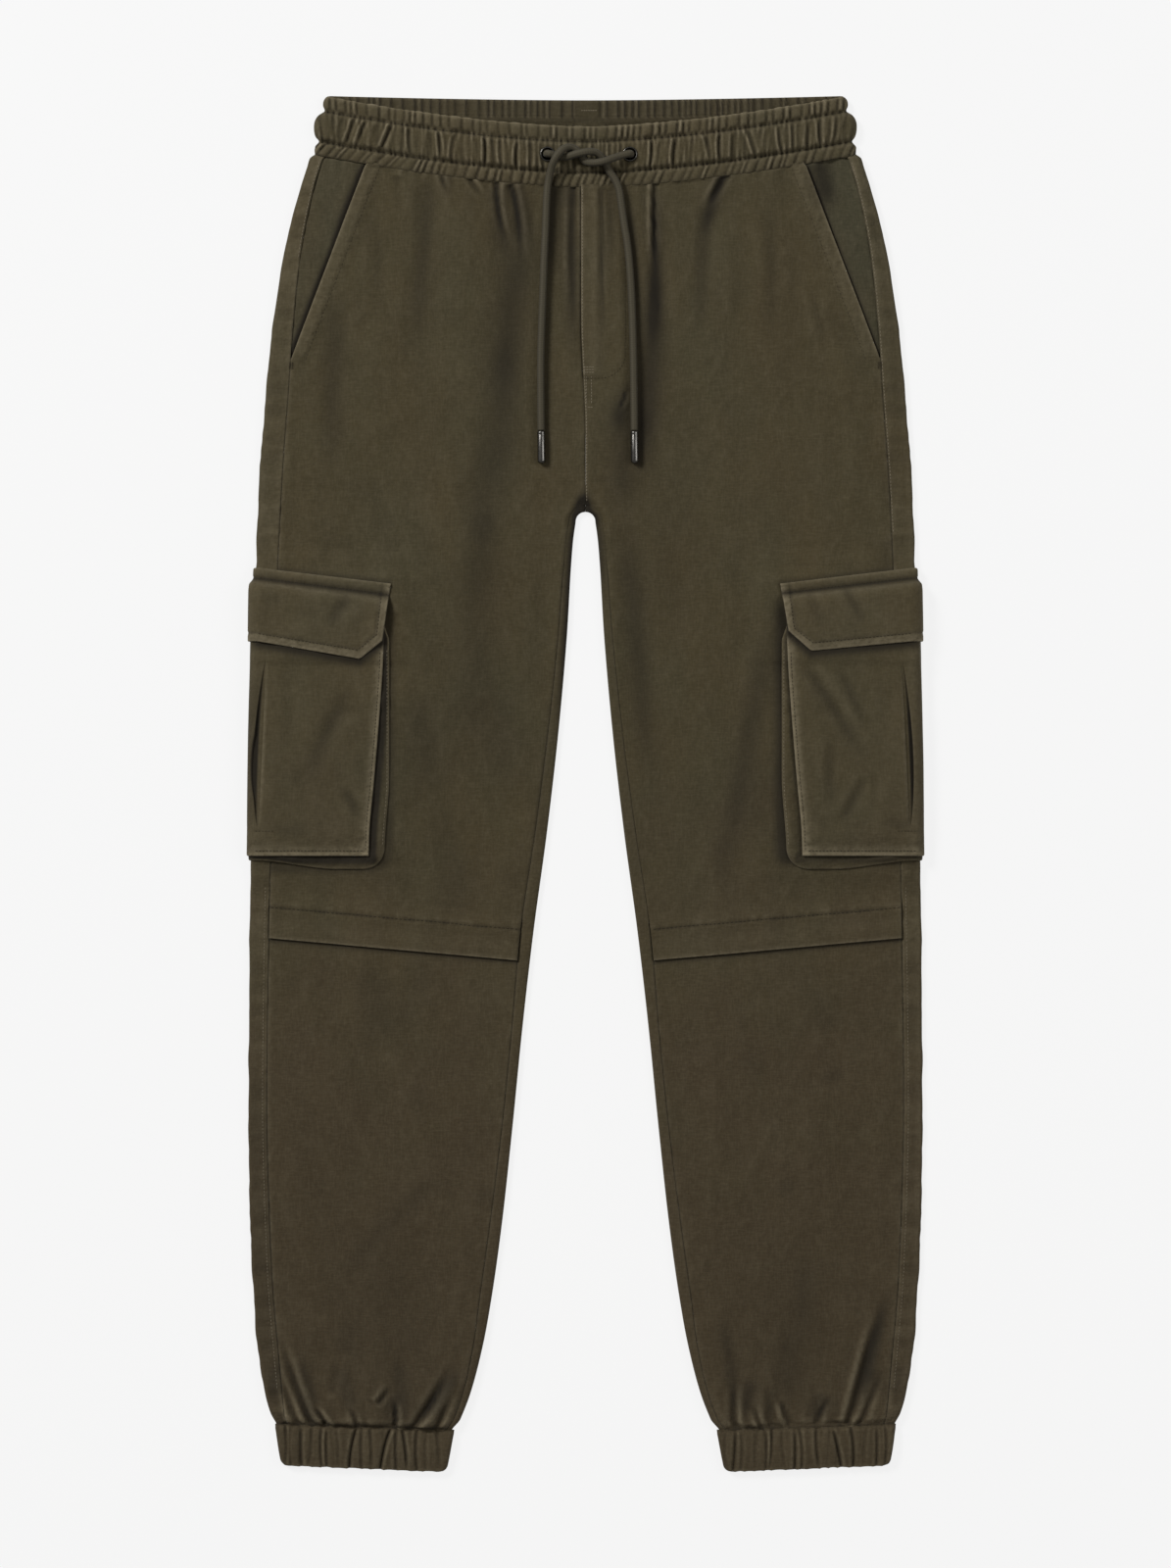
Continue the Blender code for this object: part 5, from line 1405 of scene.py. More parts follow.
def pouch(leg, side, material):
    """The pocket's face, with the pleat near its folded edge held open in a narrow slit."""
    rows = stations(
        (POUCH_FOOT, 0.4), (463, 1.2), (475, 1.5), (SLIT_FOOT, 1.2), (500, 2.2), (600, 2.2), (656, 3.0)
    )
    inner = np.array([0, 0.4, 0.9, 1.6, 2.6, 4.0, 6.0]) / 80
    face = np.concatenate([inner, np.linspace(8 / 80, 1, 30)])
    row = rows[:, None]
    s_front = arc_length_to(pouch_front(row), row)
    s_back = -(pouch_back(row) - fold_thickness(row) / 2 + quarter(row))
    t = np.clip((row - SLIT_FOOT) / (SLIT_TOP - SLIT_FOOT), 0, 1)
    gape = np.sin(pi * t**0.85) ** 0.8 * ((row > SLIT_FOOT) & (row < SLIT_TOP))
    slit_in = (9.6 if side > 0 else 7.4) + 3.4 * t + 0.4 * gape
    slit_out = slit_in - 0.4 - (5.2 if side > 0 else 6.2) * gape
    floor = np.array([0.0, 0.12, 0.35, 0.6, 0.85, 1.0])
    s_face = s_front + (slit_in - s_front) * face[None, :]
    s_floor = slit_in - 0.1 - (slit_in - 0.1 - slit_out - 0.1) * floor[None, :]
    lip = slit_out - np.array([0.0, 0.5, 1.1, 2.0])[None, :]
    beyond = slit_out - 2.0 - (slit_out - 2.0) * np.linspace(0.3, 1, 4)[None, :]
    s_strip = np.concatenate([lip, beyond], axis=1)
    s_under = np.concatenate([-quarter(row) * k for k in (0.33, 0.66, 1.0)], axis=1)
    s_under2 = -quarter(row) + (s_back + quarter(row)) * np.linspace(0.08, 1, 12)[None, :]
    s = np.concatenate([s_face, s_floor, s_strip, s_under, s_under2], axis=1)
    # Zones: 0 is the face, 1 the floor of the slit, 2 the strip beyond it, and 3 and 4 lie behind the leg.
    counts = [a.shape[1] for a in (s_face, s_floor, s_strip, s_under, s_under2)]
    zone = np.repeat(np.arange(5), counts)[None, :]
    inward = np.maximum(abs(s) - quarter(row), 0)
    up = row - FLAP_TILT * inward * smooth((row - SLIT_TOP) / 52)
    signed = side * (outer_edge(row) - inward)
    from_front, from_foot = s_front - s, row - POUCH_FOOT
    on_front = smooth(s / 4)
    swell = smooth(from_front / 14) * smooth(from_foot / 16) * smooth((650 - row) / 50)
    out = 3.0 + on_front * (1.3 + 1.5 * swell + pouch_relief(signed, up))
    hem_puckers = waves(s, 5.0, 78)
    out = out - on_front * 0.5 * hump(from_foot - 17.5, 1.3) * (s < slit_in + 2)
    out = out - on_front * 0.45 * hump(from_foot - 2.8, 0.8)
    out = out + on_front * 0.3 * hem_puckers * hump(from_foot - 4, 4)
    out = out + np.where(zone == 0, -0.5 * hump(from_front - 2.6, 0.8), 0)
    out = out + 0.3 * puckers(row, 6.0, 79) * hump(from_front - 2.5, 3) * on_front
    out = out + rolled(from_front, 1.0, 0.7) + rolled(from_foot, 1.2, 0.7)
    across_slit = np.concatenate([np.zeros(counts[0]), floor, np.zeros(sum(counts[2:]))])[None, :]
    out = out - np.where(zone == 1, 2.4 * gape * (0.38 + 0.62 * across_slit), 0)
    out = out + np.where(zone == 2, 0.25 * gape, 0)
    x, z = round_fold(side, s, up, out, 0.55)
    slit_edge = np.where(zone == 0, hump(s - slit_in, 0.9), 0) * gape
    open_edge = np.where(zone == 2, hump(s - slit_out, 0.8), 0) * gape
    # Painted light and shade: ridges of the creases lighter with abrasion and painted highlight, the pocket's
    # painted bands, its outer part lighter as painted light, abraded light edges; painted shade in the slit,
    # under the flap and on the strip beyond the slit.
    worn_and_lit, deep = worn_lit_ridges_and_shaded_hollows(pouch_relief, signed, up)
    light, dark_bands = toned(POCKET_TONES, signed, up)
    painted_outer_light = smooth((14 - s) / 8) * (0.12 if side > 0 else 0.06) + 0.03 * smooth((22 - s) / 8)
    wear_and_light, shade = (worn_and_lit + light + 0.03 + painted_outer_light) * on_front, (deep + dark_bands) * on_front
    wear_and_light = wear_and_light + (0.20 * hump(from_front - 4.2, 1.8) + 0.22 * hump(from_foot - 5, 3.5)) * on_front
    wear_and_light = wear_and_light + 1.5 * np.exp(-from_front / 2.2) * (s > 0) + 1.4 * np.exp(-from_foot / 2.0) * on_front
    wear_and_light = wear_and_light + 0.45 * slit_edge + 0.2 * open_edge
    wear_and_light = wear_and_light + 0.2 * np.clip(hem_puckers, 0, 1) * hump(from_foot - 4.5, 2) * on_front
    # Painted shade in the open slit, and the painted shadow under the flap.
    dark = np.where(zone == 1, smooth((across_slit - 0.3) / 0.4), 0) * gape
    tilt = FLAP_TILT + FOOT_TILT[side] * (s > 0)
    below_flap = FLAP_FOOT - tilt * inward + np.clip(FLAP_CUT - from_front, 0, FLAP_CUT) - up
    shade = shade + 1.5 * dark + 1.1 * hump(np.maximum(below_flap - 1.2, 0), 4.6) * on_front
    shade = shade + (0.5 if side < 0 else 0.15) * (zone >= 2) * smooth((s + 6) / 4) * gape
    pucker = 0.5 * hump(from_front - 4, 5) + 0.6 * hump(from_foot - 10, 9)
    fields = {"wear_and_light": wear_and_light, "shade": shade, "pucker": pucker}
    return panel(f"cloth_pocket_pouch_{leg}", [(place(x, up, z), fields)], side, material)


def flap(leg, side, material):
    """The flap: a seam along its top, then cloth folded down over the pouch, with its corners cut off."""
    down = stations((0, 0.4), (2, 0.9), (8, 0.9), (12, 0.8), (16, 2.0), (45, 2.0), (55, 0.5)) / 55
    across = stations((0, 0.4), (2, 0.8), (9, 1.6), (14, 2.0), (88, 2.2), (100, 1.2)) / 100
    row = down[::-1][:, None]
    top_front = arc_length_to(FLAP_END_TOP, FLAP_TOP)
    foot_front = arc_length_to(FLAP_END_FOOT, FLAP_FOOT)
    end_front = top_front + (foot_front - top_front) * row
    end_back = -FLAP_BACK_TOP + (FLAP_BACK_TOP - FLAP_BACK_FOOT) * row
    s_front = end_front * (1 - across[None, :])
    behind = np.concatenate([np.linspace(0.01, 0.06, 5), np.linspace(0.12, 0.9, 14), [0.95, 0.985, 1]])
    s_back = end_back * behind[None, :]
    s = np.concatenate([s_front, s_back], axis=1)
    end = np.where(s > 0, end_front, -end_back)
    from_end = end - abs(s)
    raise_foot = np.clip(FLAP_CUT - from_end, 0, FLAP_CUT)
    inward = np.maximum(abs(s) - quarter(FLAP_MIDDLE), 0)
    long = FLAP_TOP - FLAP_FOOT
    up = FLAP_TOP - row * (long - raise_foot) - (FLAP_TILT + FOOT_TILT[side] * row * (s > 0)) * inward
    from_top = row * (long - raise_foot)
    from_foot = (1 - row) * (long - raise_foot)
    from_cut = (from_foot + raise_foot + from_end - FLAP_CUT) / sqrt(2)
    from_edge = np.minimum(np.minimum(from_foot, from_end), np.maximum(from_cut, 0))
    signed = side * (outer_edge(up) - inward)
    out = 1.9 + 2.6 * smooth((from_top - 8.0) / 4.5)
    on_front = smooth((s + 2) / 8)
    swell = smooth(from_edge / 10) * smooth((from_top - 9) / 10)
    out = out + on_front * (2.6 * smooth((from_top - 9) / 8) + 1.0 * swell + pouch_relief(signed, up) * swell)
    edge_puckers = waves(s + up, 4.6, 42)
    out = out + on_front * 0.35 * edge_puckers * hump(from_edge - 4.5, 4)
    out = out + on_front * 0.3 * waves(signed, 5.5, 43) * hump(from_top - 7, 5)
    out = out - 0.45 * hump(from_top - FLAP_ROW_TOP, 0.9)
    out = out - 0.55 * hump(from_edge - FLAP_ROW_EDGE, 1.1) * (from_top > 14)
    out = out + rolled(from_edge, 0.9, 0.6) * (from_top > 2)
    out = out + rolled(from_top, 1.2, 0.8)
    x, z = round_fold(side, s, up, out, 0.55)
    # Painted light and shade: ridges and edges lighter with abrasion and painted highlight, the whole flap a
    # little lighter as painted light; painted shade in the groove under its top seam and along its row of
    # stitches.
    worn_and_lit, deep = worn_lit_ridges_and_shaded_hollows(pouch_relief, signed, up)
    light, dark_bands = toned(POCKET_TONES, signed, up)
    wear_and_light, shade = worn_and_lit + light, deep + dark_bands
    wear_and_light = wear_and_light + 0.07 + 1.3 * np.exp(-from_edge / 2.1) * (from_top > 3) + 0.5 * np.exp(-from_top / 1.5)
    wear_and_light = wear_and_light + 0.3 * hump(from_top - 11.5, 1.8) + 0.6 * hump(from_edge, 2.5) * hump(from_top, 5)
    wear_and_light = wear_and_light + 0.26 * hump(from_edge - 4.0, 1.8) * (from_top > 12)
    wear_and_light = wear_and_light + 0.2 * np.clip(edge_puckers, 0, 1) * hump(from_edge - 4, 3) * (from_top > 12)
    shade = shade + 0.4 * hump(from_top - 8.2, 1.1) + 0.62 * hump(from_top - 8, 3.6)
    shade = shade + 0.4 * hump(from_edge - 6.4, 1.0)
    pucker = 0.7 * hump(from_edge - 5, 4) + 0.5 * hump(from_top - 7, 5)
    fields = {"wear_and_light": wear_and_light, "shade": shade, "pucker": pucker}
    return panel(f"cloth_pocket_flap_{leg}", [(place(x, up, z), fields)], side, material)


def drawn_in(up):
    """How far the gusset's edge draws in near its foot."""
    return 3.5 * smooth((520 - up) / 60)


def bellows(leg, side, material):
    """The gusset, folded flat between the leg and the edge of the pouch."""
    front = float(arc_length_to(BELLOWS_FRONT, BELLOWS_FOOT))
    back = -(BELLOWS_BACK - float(fold_thickness(BELLOWS_FOOT)) / 2 + float(quarter(BELLOWS_FOOT)))
    corner = BELLOWS_CORNER
    rows = np.arange(BELLOWS_TOP, BELLOWS_FOOT + corner, -3.0)
    stops = [(front - 0.35 * max(up - 620, 0), up, -1, 0) for up in rows]
    for angle in np.radians(np.arange(0, 91, 9)):
        across, along = cos(angle), sin(angle)
        stops.append((front - corner * (1 - across), BELLOWS_FOOT + corner * (1 - along), -across, along))
    stops += [(s, BELLOWS_FOOT, 0, 1) for s in np.arange(front - corner - 2, 6, -2.5)]
    stops += [(s, BELLOWS_FOOT, 0, 1) for s in np.arange(4, -6, -1.0)]
    stops += [(s, BELLOWS_FOOT, 0, 1) for s in np.arange(-8, back + corner, -5.0)]
    for angle in np.radians(np.arange(90, -1, -18)):
        across, along = cos(angle), sin(angle)
        stops.append((back + corner * (1 - across), BELLOWS_FOOT + corner * (1 - along), across, along))
    stops += [(back, up, 1, 0) for up in np.arange(BELLOWS_FOOT + corner + 5, BELLOWS_TOP, 8.0)]
    path = np.array(stops)[:, :, None]
    from_edge = (np.array([1, 0.8, 0.6, 0.45, 0.3, 0.18, 0.1, 0.05, 0.02, 0]) * BELLOWS_WIDTH)[None, :]
    s = path[:, 0] + path[:, 2] * from_edge
    up = path[:, 1] + path[:, 3] * from_edge
    s = s + (outer_edge(up) - outer_edge(BELLOWS_FOOT) - drawn_in(up)) * smooth((s - 30) / 30)
    up = up + 6.5 * (1 - smooth((s - 4) / 62)) * smooth((500 - up) / 50)
    step_s = np.diff(path[:, 0], axis=0, prepend=front)
    step_up = np.diff(path[:, 1], axis=0, prepend=BELLOWS_TOP)
    run = np.cumsum(np.hypot(step_s, step_up), axis=0)
    puffs = waves(run, 13, 61) + 0.6 * waves(run, 5, 62)
    on_front = smooth((s + 2) / 8)
    out = 1.5 + on_front * (1.5 + 0.8 * puffs) * hump(from_edge - 4, 3.4)
    out = out + rolled(from_edge, 1.2, 0.8) - 0.3 * on_front * hump(from_edge - 1.8, 0.5)
    x, z = round_fold(side, s, up, out, 0.8)
    beyond = np.maximum(s - arc_length_to(pouch_front(up), up), POUCH_FOOT - up)
    # Painted shadow of the pouch on the gusset, deeper and wider on the right leg's pocket.
    if side < 0:
        painted_pouch_shadow = 1.15 - 1.0 * smooth((beyond - 4.2) / 3.6)
    else:
        painted_pouch_shadow = 0.7 * (1 - smooth((beyond - np.where(up < 461, 4.0, 1.0)) / 2.4))
    # A light abraded edge line, brighter on the right leg above the foot as painted light.
    edge_wear_and_light = np.where(up < 500, 0.5, 0.7 if side < 0 else 0.4)
    wear_and_light = edge_wear_and_light * np.exp(-from_edge / 1.2) + 0.1 * np.clip(puffs, 0, 1) * hump(from_edge - 4, 3)
    shade = painted_pouch_shadow * smooth((from_edge - 0.6) / 1.2)
    fields = {"wear_and_light": wear_and_light * on_front, "shade": shade, "pucker": 0.4}
    return panel(f"cloth_pocket_bellows_{leg}", [(place(x, up, z), fields)], side, material)


# ---------------------------------------------------------------- waistband and cuffs


band_half = reader(BAND_LINES, "half_width", "share")
band_bulge = reader(BAND_LINES, "bulge", "share")
Gather = namedtuple("Gather", "x lean width height")
Ribs = namedtuple("Ribs", "edges heights")


def ribs(seed, start, end, pitch):
    """Rounded ribs of gathered cloth with sharp valleys between them, uneven in width and height."""
    dice = random.Random(seed)
    edges, heights = [start], []
    while edges[-1] < end:
        edges.append(edges[-1] + pitch * dice.uniform(0.55, 1.5))
        heights.append(dice.uniform(0.35, 1.15))
    return Ribs(np.array(edges), np.array(heights + [0.0]))


def ribbed(found, x):
    """The height of these ribs at x."""
    i = np.clip(np.searchsorted(found.edges, x, side="right") - 1, 0, len(found.edges) - 2)
    share = (x - found.edges[i]) / (found.edges[i + 1] - found.edges[i])
    return found.heights[i] * np.clip(1 - (2 * share - 1) ** 2, 0, 1) ** 0.75


# Long creases of the middle channel: x, how far they lean and how strong they are.
CHANNEL_CREASES = (
    Gather(-186, -5, 2.6, 0.7),
    Gather(-177.8, -7, 2.0, 1.5),
    Gather(-170, -8, 2.0, 1.3),
    Gather(-161, -3, 3.2, 0.5),
    Gather(-151, -9, 2.1, 1.8),
    Gather(-134, 1, 2.0, 1.1),
    Gather(-121, -3, 3.4, 0.5),
    Gather(-110.6, 2, 1.9, 1.4),
    Gather(-101.8, -4, 2.0, 0.9),
    Gather(-90, 3, 3.0, 0.5),
    Gather(-77, 0, 1.8, 1.4),
    Gather(-66, 1, 2.0, 1.0),
    Gather(-54, -2, 1.8, 1.5),
    Gather(-43, 0, 2.0, 1.3),
    Gather(-35, 3, 1.8, 0.8),
    Gather(-12, 2, 2.0, 0.5),
    Gather(3, -1, 2.0, 0.5),
    Gather(16, 2, 1.8, 0.9),
    Gather(24, 1, 1.8, 1.0),
    Gather(47, -1, 1.8, 1.4),
    Gather(63, -2, 1.9, 1.4),
    Gather(73, 0, 2.0, 0.7),
    Gather(89, 4, 2.0, 1.2),
    Gather(97, 1, 1.9, 1.3),
    Gather(107, -1, 2.0, 0.9),
    Gather(121, 7, 2.2, 1.3),
    Gather(131, -4, 2.4, 0.6),
    Gather(142, 2, 1.9, 1.3),
    Gather(152, 1, 1.9, 1.2),
    Gather(163, -3, 2.2, 0.7),
    Gather(172, 1, 2.0, 1.4),
    Gather(184, -2, 2.0, 1.1),
)
ROW_SHARES = (0.25, 0.77)  # the two rows of stitches along the waistband
LINING_ROW = 0.35  # the row on its lining


BAND_RIBS = {
    name: ribs(seed, -212, 212, pitch)
    for name, seed, pitch in (
        ("top", 11, 6.3), ("foot", 21, 5.8), ("stitched", 31, 4.2), ("middle", 41, 9.0), ("inner", 13, 6.4),
        ("inner foot", 23, 8.5),
    )
}


def band_relief(x, share):
    """Relief of the waistband's outer face: three channels, pinched where the rows of stitches run."""
    first, second = ROW_SHARES
    warp = 0.9 * waves(x, 28, 44)
    top = ribbed(BAND_RIBS["top"], x + warp * (share / first - 0.5))
    middle = (share - first) / (second - first)
    bottom = (share - second) / (1 - second)
    in_top = smooth(share / 0.04) * smooth((first - share) / 0.07)
    in_middle = smooth(middle / 0.16) * smooth((1 - middle) / 0.16)
    in_bottom = smooth(bottom / 0.2) * smooth((1.12 - bottom) / 0.3)
    t = middle * 2 - 1
    long_creases = 0
    for k, g in enumerate(CHANNEL_CREASES):
        reach = smooth((1.3 + t * (1, -1, 0)[k % 3]) / (0.9, 0.9, 0.3)[k % 3])
        away = (x - g.x - 0.5 * g.lean * t - (0.8, -0.5, 1.2)[k % 3] * t**2) * 2 / g.width
        crease = hump(away, 1.4) - 1.2 * hump(away - 2.5, 1.5)
        long_creases = long_creases + 0.95 * g.height * reach * crease
    near_rows = hump(middle, 0.26) + hump(1 - middle, 0.26)
    wide = ribbed(BAND_RIBS["middle"], x + 2.0 * warp * t) * 1.1 + 1.0 * unevenness(x, 40 * share, 13, 15, 45)
    fine = ribbed(BAND_RIBS["stitched"], x + warp * t) * near_rows
    foot_lean = 1.7 + 3.0 * smooth((-x - 110) / 50) + warp
    foot = ribbed(BAND_RIBS["foot"], x + foot_lean * (bottom * 2 - 1))
    pinch = sum(hump(share - row, 0.03) for row in ROW_SHARES)
    height = in_top * ((2.2 + 0.5 * warp) * top - 0.7)
    height = height + in_middle * (long_creases + 1.2 * wide + 1.5 * fine + 0.2)
    height = height + in_bottom * ((2.2 - 0.6 * warp) * foot - 0.7)
    return height + (1.2 * ribbed(BAND_RIBS["stitched"], x) - 2.0) * pinch


def lining_relief(x, share):
    """Relief of the inside of the waistband's back, which shows over its front edge."""
    gathers_in = 2.2 * ribbed(BAND_RIBS["inner"], x) * smooth((0.33 - share) / 0.05)
    gathers_in = gathers_in + 1.8 * ribbed(BAND_RIBS["inner foot"], x) * smooth((share - 0.37) / 0.05)
    gathers_in = gathers_in - 1.0 * hump(share - LINING_ROW, 0.02)
    smooth_place = smooth((11 - abs(x - 1.8)) / 3)
    return gathers_in * (1 - smooth_place) + 0.4 * smooth_place - BAND_WALL - 0.3


def crests_and_valleys(relief, x, *where, reach=1.6, gain=0.45):
    """Wear and painted highlight on the ribs of a gathered piece, and painted shade between them."""
    stands = gain * (relief(x, *where) - (relief(x - reach, *where) + relief(x + reach, *where)) / 2)
    return np.clip(stands, 0, 0.6), np.clip(-1.5 * stands, 0, 0.8)


def doubled(down, step):
    """Shares down the outer face and back up the lining, and 1 where they are on the lining."""
    lining = down[::-step]
    share = np.concatenate([down, lining])
    inside = np.repeat([0.0, 1.0], [len(down), len(lining)])
    return share[None, :], inside[None, :]


RING_FOLD = np.linspace(0, 180, 12)[1:-1]


def flat_ring(low, high, radius, front, back):
    """The columns round a flattened ring from x low to high: its front, a fold, its back and the other fold.

    They have an x to turn about, a level (1 in front, -1 behind), how far they face sideways, and whether
    they are on the front or the back. front and back are shares of the ring's width.
    """
    lengths = [len(front), len(RING_FOLD), len(back), len(RING_FOLD)]
    zone = np.repeat(["front", "high", "back", "low"], lengths)[:, None]
    value = np.concatenate([front, RING_FOLD, 1 - back, RING_FOLD])[:, None]
    angle = np.radians(value)
    cases = [zone == "front", zone == "back", zone == "high"]
    level = np.select(cases, [1.0, -1.0, np.cos(angle)], -np.cos(angle))
    sideways = np.select([zone == "high", zone == "low"], [np.sin(angle), -np.sin(angle)], 0.0)
    straight = (zone == "front") | (zone == "back")
    flat_x = low + radius + (high - low - 2 * radius) * value
    turn_x = np.where(zone == "high", high - radius, low + radius)
    return np.where(straight, flat_x, turn_x), level, sideways, straight


def waistband(material):
    """A flattened ring of doubled cloth, gathered on elastic in three channels."""
    down = stations((0, 0.012), (0.03, 0.022), (0.22, 0.022), (0.25, 0.012), (0.29, 0.022), (0.73, 0.024),
                    (0.77, 0.012), (0.81, 0.022), (0.97, 0.02), (1, 0.012))
    share, inside = doubled(down, 2)
    half = band_half(share)
    plump = band_bulge(share) * (1 - inside)
    radius = BAND_THICKNESS / 2
    fine, coarse = stations((0, 0.0022), (1, 0.0022)), stations((0, 0.0034), (1, 0.0034))
    axis_x, level, sideways, straight = flat_ring(-half, half, radius, fine, coarse)
    x_mid = axis_x + radius * sideways
    front = (1 + level) / 2
    outer = plump + band_relief(x_mid, share) * np.where(straight, 1.0, 0.25) * np.clip(front * 1.3, 0, 1)
    near_eyelets = sum(hump(x_mid - side * EYELET_X[leg], 7.5) for leg, side in LEGS.items())
    outer = outer * (1 - np.clip(near_eyelets, 0, 1) * hump(share - 0.5, 0.2) * front)
    underneath = np.clip(outer, -2.0, 0.0)
    outer = np.where(level < 0, underneath, outer)
    lining = np.where(level < 0, lining_relief(x_mid, share), -BAND_WALL)
    out = np.where(inside > 0, lining, outer)
    bulk = np.where(level > 0, out, np.minimum(out, 0.0))
    z = radius + radius * level + bulk * level
    x = axis_x + (radius + out) * sideways
    dip = waist_dip(x, FRONT_DIP * front + BACK_DIP * (1 - front))
    lip = 0.7 * (ribbed(BAND_RIBS["top"], x_mid) - 0.3) * smooth((0.06 - share) / 0.06)
    lip = lip - 0.9 * ribbed(BAND_RIBS["foot"], x_mid + 1.7) * smooth((share - 0.93) / 0.07)
    up = BAND_TOP - BAND_HEIGHT * share - dip + lip * (front > 0.5)
    points = place(x, up, z)
    # Painted light and shade: the top edge and the crests of the gathers lighter with abrasion and painted
    # highlight; painted shade in the rows of stitches, between the gathers, at the band's foot and over the
    # inside of its back.
    edge = np.exp(-share / 0.022)
    rows = sum(hump(share - row, 0.02) for row in ROW_SHARES)
    crests_worn_and_lit, deep = crests_and_valleys(band_relief, x_mid, share)
    lining_crests_worn_and_lit, deep_in = crests_and_valleys(lining_relief, x_mid, share)
    scallops = 0.6 + 0.5 * ribbed(BAND_RIBS["top"], x_mid)
    beside_rows = sum(hump(abs(share - row) - 0.045, 0.02) for row in ROW_SHARES)
    crests_worn_and_lit = crests_worn_and_lit + 0.16 * beside_rows * ribbed(BAND_RIBS["stitched"], x_mid)
    wear_and_light = (1.0 * edge * scallops + 1.5 * crests_worn_and_lit) * (1 - inside) + (0.4 * edge + lining_crests_worn_and_lit) * inside
    puckered = 1 - 0.7 * ribbed(BAND_RIBS["stitched"], x_mid)
    shade = (0.9 * rows * puckered + 0.4 * hump(share - 1, 0.035) + deep) * (1 - inside)
    shade = shade + inside * (deep_in + 0.5 * hump(share - LINING_ROW, 0.02) + 0.32 * (level < 0))
    fields = {"wear_and_light": wear_and_light, "shade": shade, "pucker": 0.35 + 0.5 * rows}
    bm = bmesh.new()
    ring(bm, points, fields)
    for leg, side in LEGS.items():
        centre = Vector((side * EYELET_X[leg], EYELET_UP - LENGTH / 2, 0)) * MM
        hole = [
            face
            for face in bm.faces
            if face.calc_center_median().z > BAND_THICKNESS / 2 * MM
            and (face.calc_center_median() - centre).to_2d().length < EYELET_HOLE * MM
        ]
        bmesh.ops.delete(bm, geom=hole, context="FACES")
        bmesh.ops.bridge_loops(bm, edges=[edge for edge in bm.edges if edge.is_boundary])
    bmesh.ops.recalc_face_normals(bm, faces=bm.faces)
    return finish_mesh("cloth_waistband", bm, material, weld=False)


# Creases of the cuffs: where, how they lean, how wide and how deep.
CUFF_GATHERS = {
    1: (
        Gather(104, 0, 1.2, 0.4),
        Gather(111, 1, 1.0, 0.9),
        Gather(116, 0, 0.8, 0.6),
        Gather(127, 1, 1.6, 0.4),
        Gather(134.5, 0, 1.0, 1.0),
        Gather(138, 1, 1.0, 0.7),
        Gather(147, -1, 1.5, 0.4),
        Gather(156, 0, 1.2, 1.0),
        Gather(160.5, -1, 0.9, 0.8),
        Gather(172.6, -1, 1.4, 0.9),
        Gather(187.4, -3.4, 1.4, 1.3),
        Gather(199, -1, 1.3, 1.0),
        Gather(208, 1, 1.6, 0.4),
        Gather(217, 0, 1.0, 0.8),
        Gather(223.5, 0, 0.9, 0.8),
    ),
    -1: (
        Gather(110, 1, 1.4, 0.5),
        Gather(119.4, 0, 1.1, 0.5),
        Gather(126, 0, 1.2, 0.9),
        Gather(134.8, 1.8, 1.3, 1.3),
        Gather(141.3, 0, 0.9, 0.8),
        Gather(149.6, -3.8, 1.4, 1.4),
        Gather(160, 0.5, 1.1, 0.6),
        Gather(167.2, 0, 1.1, 0.7),
        Gather(173.9, -2.6, 1.3, 1.2),
        Gather(185, 1, 1.6, 0.4),
        Gather(193, 0, 1.0, 0.8),
        Gather(197, 0, 0.9, 0.8),
        Gather(205, -1, 1.3, 0.5),
        Gather(212, 0, 2.0, 1.2),
        Gather(220, 0, 0.9, 0.6),
        Gather(223.4, 0, 0.9, 0.9),
    ),
}


def cuff_relief(x, share, side):
    """Relief of a cuff's outer face: soft ribs with sharper valleys between them."""
    middle = 1 - 2 * share
    valleys, ridges = 0, 0
    for k, g in enumerate(CUFF_GATHERS[side]):
        bow = (0.9, -0.5, -1.1)[k % 3] * (middle**2 - 0.5)
        reach = smooth((1.25 + middle * (1, 0, -1)[(k * 5) % 3]) / 0.9)
        away = x - g.x - g.lean * middle - bow
        valleys = valleys + g.height * reach * np.exp(-np.sqrt(away**2 + 0.1) / (0.85 * g.width))
        ridges = ridges + g.height * reach * hump(away - (2.6, -2.6)[k % 2], 1.7)
    warp = 1.6 * waves(x, 20, 52) * middle
    soft = ribbed(CUFF_RIBS[side], x + warp) * (0.4 + 0.6 * hump(share, 0.3))
    puffs = unevenness(x, 30 * share, 13, 24, 53)
    ends = smooth(share / 0.1) * smooth((1.06 - share) / 0.12)
    seam = ribbed(CUFF_RIBS[side], x) * hump(share, 0.12) - 1.5 * hump(share, 0.06)
    face = 0.7 * ridges - 2.9 * valleys + 0.9 * soft + 0.9 * puffs + 1.2 * np.sin(pi * share)
    return face * ends + 0.8 * seam


CUFF_RIBS = {side: ribs(60 + side, 94, 236, 7.6) for side in LEGS.values()}


